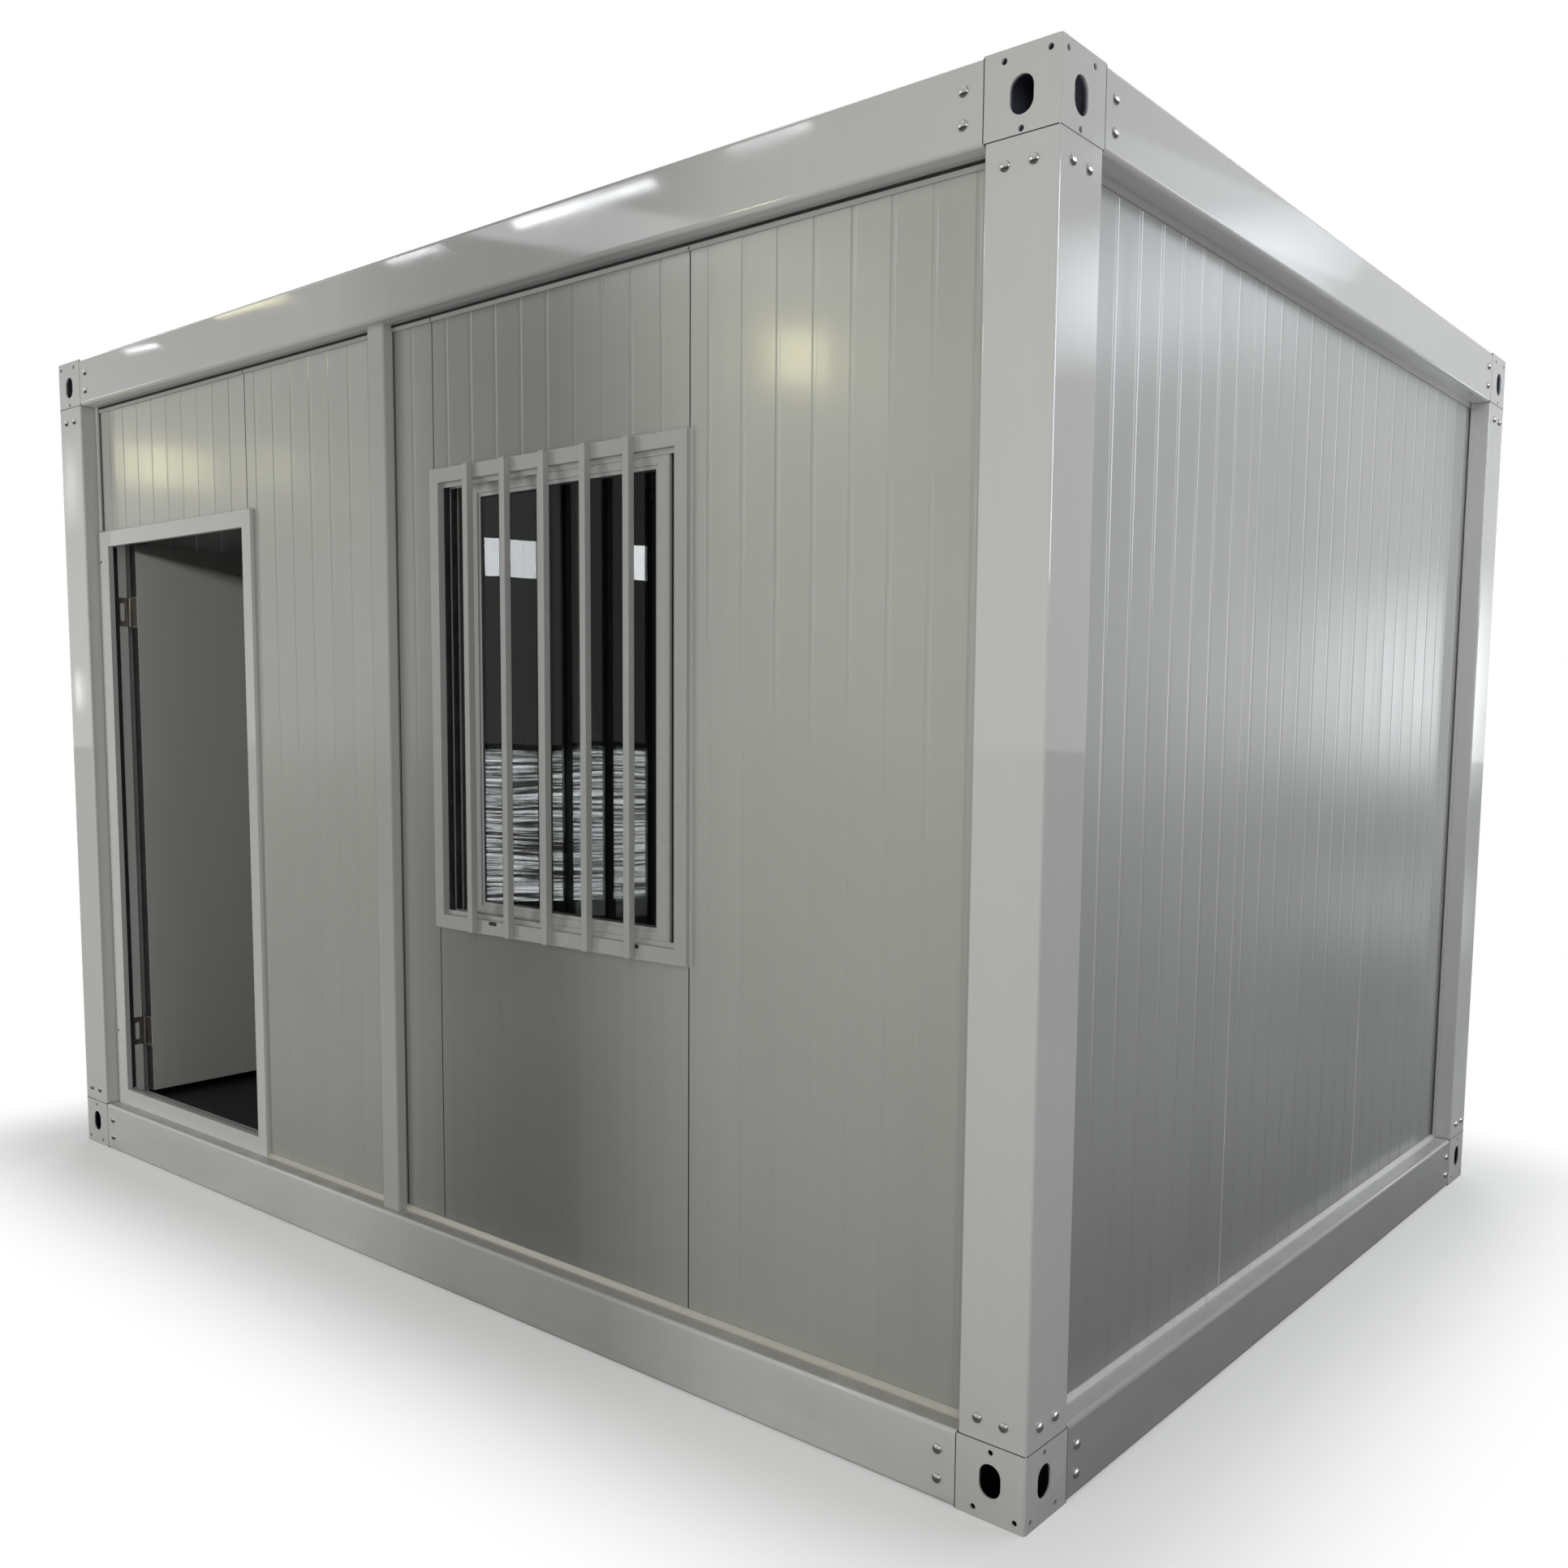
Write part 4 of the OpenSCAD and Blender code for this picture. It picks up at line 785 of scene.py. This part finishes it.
# Lock plate with its bolt on the leaf's free edge, and its counterpart on the lock jamb
leaf_low, leaf_high = (np.array(c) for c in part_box("door_leaf"))
handle_low, handle_high = (np.array(c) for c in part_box("door_handle"))
LOCK_Z, PLATE_T, TONGUE_T = (handle_low[2] + handle_high[2]) / 2, 1.2 * MM, 3.5 * MM
LOCK_PLATE, LOCK_TONGUE = (11 * MM, 110 * MM, 110 * MM, 10 * MM), (7 * MM, 16 * MM, 16 * MM, 3 * MM)
leaf_mid, leaf_edge = (leaf_low[0] + leaf_high[0]) / 2, leaf_high[1]
piece("lock_plate", [plate(leaf_mid, LOCK_Z, LOCK_PLATE, leaf_edge, leaf_edge + PLATE_T),
                     plate(leaf_mid, LOCK_Z, LOCK_TONGUE, leaf_edge + PLATE_T, leaf_edge + TONGUE_T)],
      HINGE_STEEL, "door")
STRIKE_D, STRIKE_HALF, REBATE_U = (76 * MM, 98 * MM), 70 * MM, lock_jamb[0] + REBATE
strike = bar(rounded(STRIKE_D[0], LOCK_Z - STRIKE_HALF, STRIKE_D[1], LOCK_Z + STRIKE_HALF, 6 * MM),
             REBATE_U - PLATE_T, REBATE_U, 0)

# Seal on the leaf's hinge edge, broken by the hinges
HINGE_Z, HINGE_CLEAR, SEAL_END = (423 * MM, 1924 * MM), 53 * MM, 2 * MM
leaf_ends = [leaf_low[2] + SEAL_END, HINGE_Z[0] - HINGE_CLEAR, HINGE_Z[0] + HINGE_CLEAR,
             HINGE_Z[1] - HINGE_CLEAR,
             HINGE_Z[1] + HINGE_CLEAR, leaf_high[2] - SEAL_END]
edge_outline = rounded(leaf_low[0] + 1 * MM, leaf_low[1] - PLATE_T, leaf_high[0] - 6 * MM, leaf_low[1],
                       0.5 * MM)
piece("leaf_edge_seal", [bar(edge_outline, *leaf_ends[k:k + 2], 2) for k in (0, 2, 4)], RUBBER,
      "door")
piece("strike_plate", on_front(strike), HINGE_STEEL)

# Screws through the crowns of the roof sheet's ribs, with the corners left free: rings of radius and height
# in mm
ROOF_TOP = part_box("roof_sheet")[1][2]
RIB_PITCH, RIB_COUNT, ROOF_ROWS, ROOF_FREE = 0.25, 16, (-1.28, -0.64, 0.0, 0.64, 1.28), (1.7, 1.2)
SCREW_RINGS, SCREW_SIDES = ((0.0, 6.5), (4.0, 6.5), (5.5, 2.2), (9.0, 1.5), (9.0, 0.0)), 16
screw_r, screw_h = np.array(SCREW_RINGS).T[:, :, None] * MM
angle = np.arange(SCREW_SIDES) * 2 * math.pi / SCREW_SIDES
screw = np.stack([screw_r * np.cos(angle), screw_r * np.sin(angle), np.repeat(screw_h, SCREW_SIDES, 1)], -1)
screw_faces = grid_faces(len(SCREW_RINGS), SCREW_SIDES, wrap_cols=True)
ribs = (np.arange(RIB_COUNT) - (RIB_COUNT - 1) / 2) * RIB_PITCH
roof_spots = [(x, y, ROOF_TOP) for x in ribs for y in ROOF_ROWS
              if abs(x) < ROOF_FREE[0] or abs(y) < ROOF_FREE[1]]
piece("roof_screws", [repeated((screw.reshape(-1, 3), screw_faces), roof_spots)], ZINC)

# Camera at the photograph's place: turned by azimuth, tilt and roll, with the shift of its frame
AZIMUTH, TILT, ROLL = (math.radians(a) for a in (39.3869, 5.5610, 0.5853))
CAMERA_AT = Vector((3.34639, -3.78283, 1.57826))
forward = Vector((-math.sin(AZIMUTH) * math.cos(TILT), math.cos(AZIMUTH) * math.cos(TILT), -math.sin(TILT)))
level = Vector((math.cos(AZIMUTH), math.sin(AZIMUTH), 0))
upright = level.cross(forward)
right = math.cos(ROLL) * level + math.sin(ROLL) * upright
top = -math.sin(ROLL) * level + math.cos(ROLL) * upright
camera_data = bpy.data.cameras.new("camera")
camera_data.sensor_width, camera_data.lens = 36.0, 32.908
camera_data.shift_x, camera_data.shift_y = -0.018085, 0.046711
camera_data.clip_end = 200
camera = bpy.data.objects.new("camera", camera_data)
camera.matrix_world = Matrix((
    (right.x, top.x, -forward.x, CAMERA_AT.x), (right.y, top.y, -forward.y, CAMERA_AT.y),
    (right.z, top.z, -forward.z, CAMERA_AT.z), (0, 0, 0, 1)))
bpy.context.scene.collection.objects.link(camera)
bpy.context.scene.camera = camera


def soft_box(lights, name, place, aim, size, power, colour=(1, 1, 1), along=None):
    """A rectangular lamp at a place, turned to its aim. It lights all, only matt surfaces or only gloss. Its
    width lies level, or along a direction."""
    data = bpy.data.lights.new(name, "AREA")
    data.shape, data.size, data.size_y = "RECTANGLE", size[0], size[1]
    data.energy, data.color = power, colour
    lamp = bpy.data.objects.new(name, data)
    lamp.location = place
    back = (Vector(place) - Vector(aim)).normalized()
    width = Vector(along) - back * back.dot(along) if along else Vector((0, 0, 1)).cross(back)
    width.normalize()
    lamp.rotation_euler = Matrix((width, back.cross(width), back)).transposed().to_euler()
    lamp.visible_camera = False
    lamp.visible_diffuse, lamp.visible_glossy = lights != "gloss", lights != "matt"
    bpy.context.scene.collection.objects.link(lamp)
    return lamp


# Faces in which the camera sees lamps: the axis that each is square to and where it lies on that axis
PANE_DEPTH = 85 * MM
FRONT_RAIL, FRONT_PANEL, FRONT_PANE = (1, LOW[1]), (1, LOW[1] + WALL_FACE), (1, LOW[1] + PANE_DEPTH)
END_RAIL, END_PANEL = (0, HIGH[0]), (0, HIGH[0] - WALL_FACE)
MIRROR_REACH, END_GLOW_REACH, SLOPE_STEP = 5.0, 5.2, 10 * MM


def mirrored(face, along, height, reach):
    """A spot on a face and the place that the camera sees mirrored there: the ray from the camera to the
    spot, turned back by the face and followed for the reach."""
    axis, depth = face
    spot = Vector((along, along, height))
    spot[axis] = depth
    ray = (spot - CAMERA_AT).normalized()
    ray[axis] = -ray[axis]
    return spot, spot + reach * ray


def mirror_lamp(name, face, seen_at, size, power, colour, slope=None, reach=MIRROR_REACH):
    """A gloss lamp that the camera sees at a spot, given by its place along the face and its height. With a
    slope, the lamp's width follows the mirror image of a line that has this slope on the face."""
    spot, place = mirrored(face, *seen_at, reach)
    width = None
    if slope is not None:
        width = mirrored(face, seen_at[0] + SLOPE_STEP, seen_at[1] + SLOPE_STEP * slope, reach)[1] - place
    return soft_box("gloss", name, place, spot, size, power, colour, width)


# Lamps: name, place, aim, size, power and colour. The matt lamps light the faces, the plain ones the sides
# that the photograph doesn't show, and the edge lamps give the rounded edges of rails and posts their sheen.
COOL, WARM, YELLOW, BLUE = (0.95, 0.975, 1.0), (1.0, 0.99, 0.96), (1.0, 0.95, 0.52), (0.86, 0.91, 1.0)
MATT_LAMPS = (
    ("front_far_left", (-2.6, -3.6, 2.3), (-1.7, -1.4, 1.5), (1.0, 2.4), 14, WARM),
    ("front_left_low", (-2.4, -4.8, 0.9), (-1.2, -1.4, 0.6), (1.4, 1.0), 46, WARM),
    ("front_low", (1.2, -5.2, 0.9), (1.2, -1.4, 0.8), (1.6, 1.0), 20, WARM),
    ("front_right_high", (3.6, -4.6, 4.2), (1.6, -1.4, 1.4), (1.6, 1.2), 19, WARM),
    ("front_right_low", (4.2, -4.2, 1.6), (1.7, -1.4, 1.3), (1.2, 1.6), 30, WARM),
    ("front_near", (1.9, -3.6, 2.2), (1.7, -1.4, 1.6), (1.0, 1.4), 9.5, WARM),
    ("end_top", (3.0, 0.0, 4.2), (2.0, 0.0, 2.0), (0.6, 2.4), 19.5, COOL),
    ("end_high", (4.8, 0.3, 4.4), (2.0, 0.0, 1.6), (2.0, 1.0), 20, COOL),
    ("end_far_low", (4.0, 3.0, 1.6), (2.0, 1.2, 1.3), (1.0, 1.6), 38, COOL),
    ("end_middle", (3.5, 0.3, 2.0), (2.0, 0.3, 1.9), (2.0, 0.8), 4.5, COOL),
    ("end_near", (5.0, -2.4, 2.6), (2.0, -1.0, 1.5), (1.2, 1.2), 13, COOL),
)
PLAIN_LAMPS = (
    ("left_light", (-6.4, 2.2, 4.6), (-2, 0, 1.4), (3.0, 2.0), 110),
    ("back_light", (-1.5, 6.5, 4.6), (-0.3, 1.4, 1.4), (4.0, 2.0), 150),
    ("top_light", (0, 0, 7.5), (0, 0, 2.8), (5.0, 4.0), 100),
)
EDGE_LAMPS = (
    ("rail_edge_glow", (-4.5, -3.6, 4.6), (0, -1.475, 1.4), (8.0, 0.3), 30, COOL),
    ("post_edge_glow", (6.7, -0.3, 3.3), (2.0, -1.475, 2.2), (3.5, 2.0), 450, BLUE),
)
# Mirror lamps: name, face, the spot on it, size, power, colour, and for some a slope and a reach of their own
MIRROR_LAMPS = (
    ("door_glow", FRONT_PANEL, (-1.367, 2.379), (0.5, 0.25), 3.0, YELLOW),
    ("beside_glow", FRONT_PANEL, (-0.697, 2.312), (0.25, 0.25), 0.6, YELLOW),
    ("right_glow", FRONT_PANEL, (1.353, 2.331), (0.28, 0.28), 10, YELLOW),
    ("end_top_glow", END_PANEL, (-1.056, 2.43), (1.8, 0.8), 10, BLUE),
    ("end_glow", END_PANEL, (0.8, 1.7), (0.8, 1.5), 7.5, COOL, None, END_GLOW_REACH),
    ("end_low_glow", END_PANEL, (0.7, 1.02), (0.9, 0.7), 1.2, COOL, None, END_GLOW_REACH),
    ("roof_end_glow", END_RAIL, (-0.766, 2.68), (1.5, 0.22), 0.9, BLUE, 0.095),
    ("rail_streak", FRONT_RAIL, (0.753, 2.751), (0.8, 0.04), 3, COOL, -0.015),
    ("rail_streak_left", FRONT_RAIL, (0.095, 2.764), (0.33, 0.02), 0.5, COOL, -0.025),
    ("rail_streak_right", FRONT_RAIL, (1.317, 2.765), (0.44, 0.025), 0.9, COOL, -0.01),
    ("rail_streak_far", FRONT_RAIL, (-0.705, 2.766), (0.45, 0.017), 0.4, YELLOW, -0.02),
    ("rail_streak_end", FRONT_RAIL, (-1.389, 2.748), (0.19, 0.018), 0.15, COOL, -0.035),
    ("left_post_glow", FRONT_RAIL, (-1.938, 2.359), (0.05, 0.62), 0.22, COOL),
    ("left_post_second", FRONT_RAIL, (-1.93, 1.65), (0.05, 0.32), 0.1, WARM),
)
LEAF_LAMP = ("leaf_light", (1.5, -5.0, 2.85), (-1.72, -0.9, 1.2), (0.4, 0.4), 70, WARM)
PANE_LAMP = ("pane_glow", (-4.0, -5.2, 0.85), (0.4, -1.4, 1.3), (2.4, 1.0), 100, COOL)
PANE_MIRRORS = (
    ("pane_window_left", FRONT_PANE, (0.365, 1.98), (0.34, 0.23), 6.5, COOL),
    ("pane_window_right", FRONT_PANE, (0.872, 1.935), (0.18, 0.2), 5, COOL),
)
SOFT_LAMPS = ("end_top_glow", "end_glow", "end_low_glow", "left_post_glow", "left_post_second")


def receivers(name, nodes, state):
    """The nodes that a lamp lights alone, or that it leaves out."""
    made = bpy.data.collections.new(name)
    for node in nodes:
        made.objects.link(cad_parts[node])
    for member in made.collection_objects:
        member.light_linking.link_state = state
    return made


def lamp_nodes(lamp):
    """A lamp's node tree, the place on its face from 0 to 1 and the strength of its glow."""
    lamp.data.use_nodes = True
    tree = lamp.data.node_tree
    spot = tree.nodes.new("ShaderNodeNewGeometry").outputs["Parametric"]
    glow = next(made for made in tree.nodes if made.type == "EMISSION")
    return tree, spot, glow.inputs["Strength"]


def streaked(lamp):
    """A lamp whose light is broken into level streaks: noise drawn out along the lamp's width."""
    tree, spot, strength = lamp_nodes(lamp)
    bands = noise(tree, stretched(tree, spot, (3.0, 40.0, 0.0)), 1.0, 4.0, 0.75)
    tree.links.new(spread(tree, bands, 0.45, 0.6, 0.06, 2.2), strength)


def soft_edged(lamp):
    """A lamp that fades from its middle to its edges: the product of the sines of half a turn times each
    place."""
    tree, spot, strength = lamp_nodes(lamp)
    place = axes_of(tree, spot)
    sines = [maths(tree, "SINE", maths(tree, "MULTIPLY", place[axis], math.pi)) for axis in "XY"]
    tree.links.new(maths(tree, "MULTIPLY", maths(tree, "MULTIPLY", *sines), 2.4), strength)


leaf_alone = receivers("leaf_alone", ("door_leaf",), "INCLUDE")
panes_alone = receivers("panes_alone", ("window_glass",), "INCLUDE")
indoors = receivers("indoors", ("ceiling_panel", "door_leaf"), "EXCLUDE")
for lights, lamp_lines in (("matt", MATT_LAMPS), ("all", PLAIN_LAMPS)):
    for lamp_line in lamp_lines:
        lamp = soft_box(lights, *lamp_line)
        if lamp.name.startswith("front"):
            lamp.light_linking.receiver_collection = indoors
for lamp_line in MIRROR_LAMPS:
    lamp = mirror_lamp(*lamp_line)
    if lamp.name in SOFT_LAMPS:
        soft_edged(lamp)
for lamp_line in EDGE_LAMPS:
    soft_box("gloss", *lamp_line)
soft_box("matt", *LEAF_LAMP).light_linking.receiver_collection = leaf_alone
pane_lamps = [soft_box("gloss", *PANE_LAMP), *(mirror_lamp(*lamp_line) for lamp_line in PANE_MIRRORS)]
for pane_lamp in pane_lamps:
    pane_lamp.light_linking.receiver_collection = panes_alone
streaked(pane_lamps[0])


def sees_background(tree):
    """One for rays from the camera, from gloss and through glass."""
    path = tree.nodes.new("ShaderNodeLightPath").outputs
    seen = maths(tree, "MAXIMUM", path["Is Camera Ray"], path["Is Glossy Ray"])
    return maths(tree, "MAXIMUM", seen, path["Is Transmission Ray"])


AMBIENT, WHITE = 0.06, (1, 1, 1, 1)
world = bpy.data.worlds.new("studio")
bpy.context.scene.world = world
world.use_nodes = True
world.node_tree.nodes.clear()
strength = spread(world.node_tree, sees_background(world.node_tree), 0.0, 1.0, AMBIENT, 1.0)
sky = add(world.node_tree, "ShaderNodeBackground", {"Color": WHITE, "Strength": strength})
add(world.node_tree, "ShaderNodeOutputWorld", {"Surface": sky.outputs[0]})
# The floor: half its side, the distance over which it turns white, its tone for bounced light and as it is
# seen
FLOOR_HALF, FLOOR_FADE = 60.0, 0.7
FLOOR_BOUNCE, FLOOR_SEEN = (0.3, 0.3, 0.3, 1), (0.88, 0.88, 0.88, 1)


def studio_floor(half, fade_to):
    """A flat square that keeps the house's shadow and turns into the white background with the distance from
    the house's footprint, the length of |p| less half the footprint, not under nought. Gloss sees it grey."""
    made = bpy.data.materials.new("studio_floor")
    made.use_nodes = True
    tree = made.node_tree
    tree.nodes.clear()
    place = tree.nodes.new("ShaderNodeTexCoord").outputs["Object"]
    beside = add(tree, "ShaderNodeVectorMath", {0: place}, operation="ABSOLUTE").outputs[0]
    beside = add(tree, "ShaderNodeVectorMath", {0: beside, 1: (LENGTH / 2, WIDTH / 2, 0)},
                 operation="SUBTRACT")
    beside = add(tree, "ShaderNodeVectorMath", {0: beside.outputs[0], 1: (0, 0, 0)}, operation="MAXIMUM")
    away = add(tree, "ShaderNodeVectorMath", {0: beside.outputs[0]}, operation="LENGTH").outputs["Value"]
    far = spread(tree, away, 0.0, fade_to, 0.2, 1.0, True)
    path = tree.nodes.new("ShaderNodeLightPath").outputs
    seen = maths(tree, "MAXIMUM", path["Is Camera Ray"], path["Is Transmission Ray"])
    lit = add(tree, "ShaderNodeBsdfDiffuse", {"Color": blend_colours(tree, seen, FLOOR_BOUNCE, FLOOR_SEEN)})
    white = add(tree, "ShaderNodeEmission", {"Color": WHITE, "Strength": 1.0})
    glow = maths(tree, "MULTIPLY", far, seen)
    mixed = add(tree, "ShaderNodeMixShader", {0: glow, 1: lit.outputs[0], 2: white.outputs[0]})
    add(tree, "ShaderNodeOutputMaterial", {"Surface": mixed.outputs[0]})
    mesh = bpy.data.meshes.new("studio_floor")
    mesh.from_pydata([(-half, -half, 0), (half, -half, 0), (half, half, 0), (-half, half, 0)], [],
                     [(0, 1, 2, 3)])
    mesh.materials.append(made)
    floor = bpy.data.objects.new("studio_floor", mesh)
    bpy.context.scene.collection.objects.link(floor)


studio_floor(FLOOR_HALF, FLOOR_FADE)

bpy.context.scene.view_settings.view_transform = "Standard"
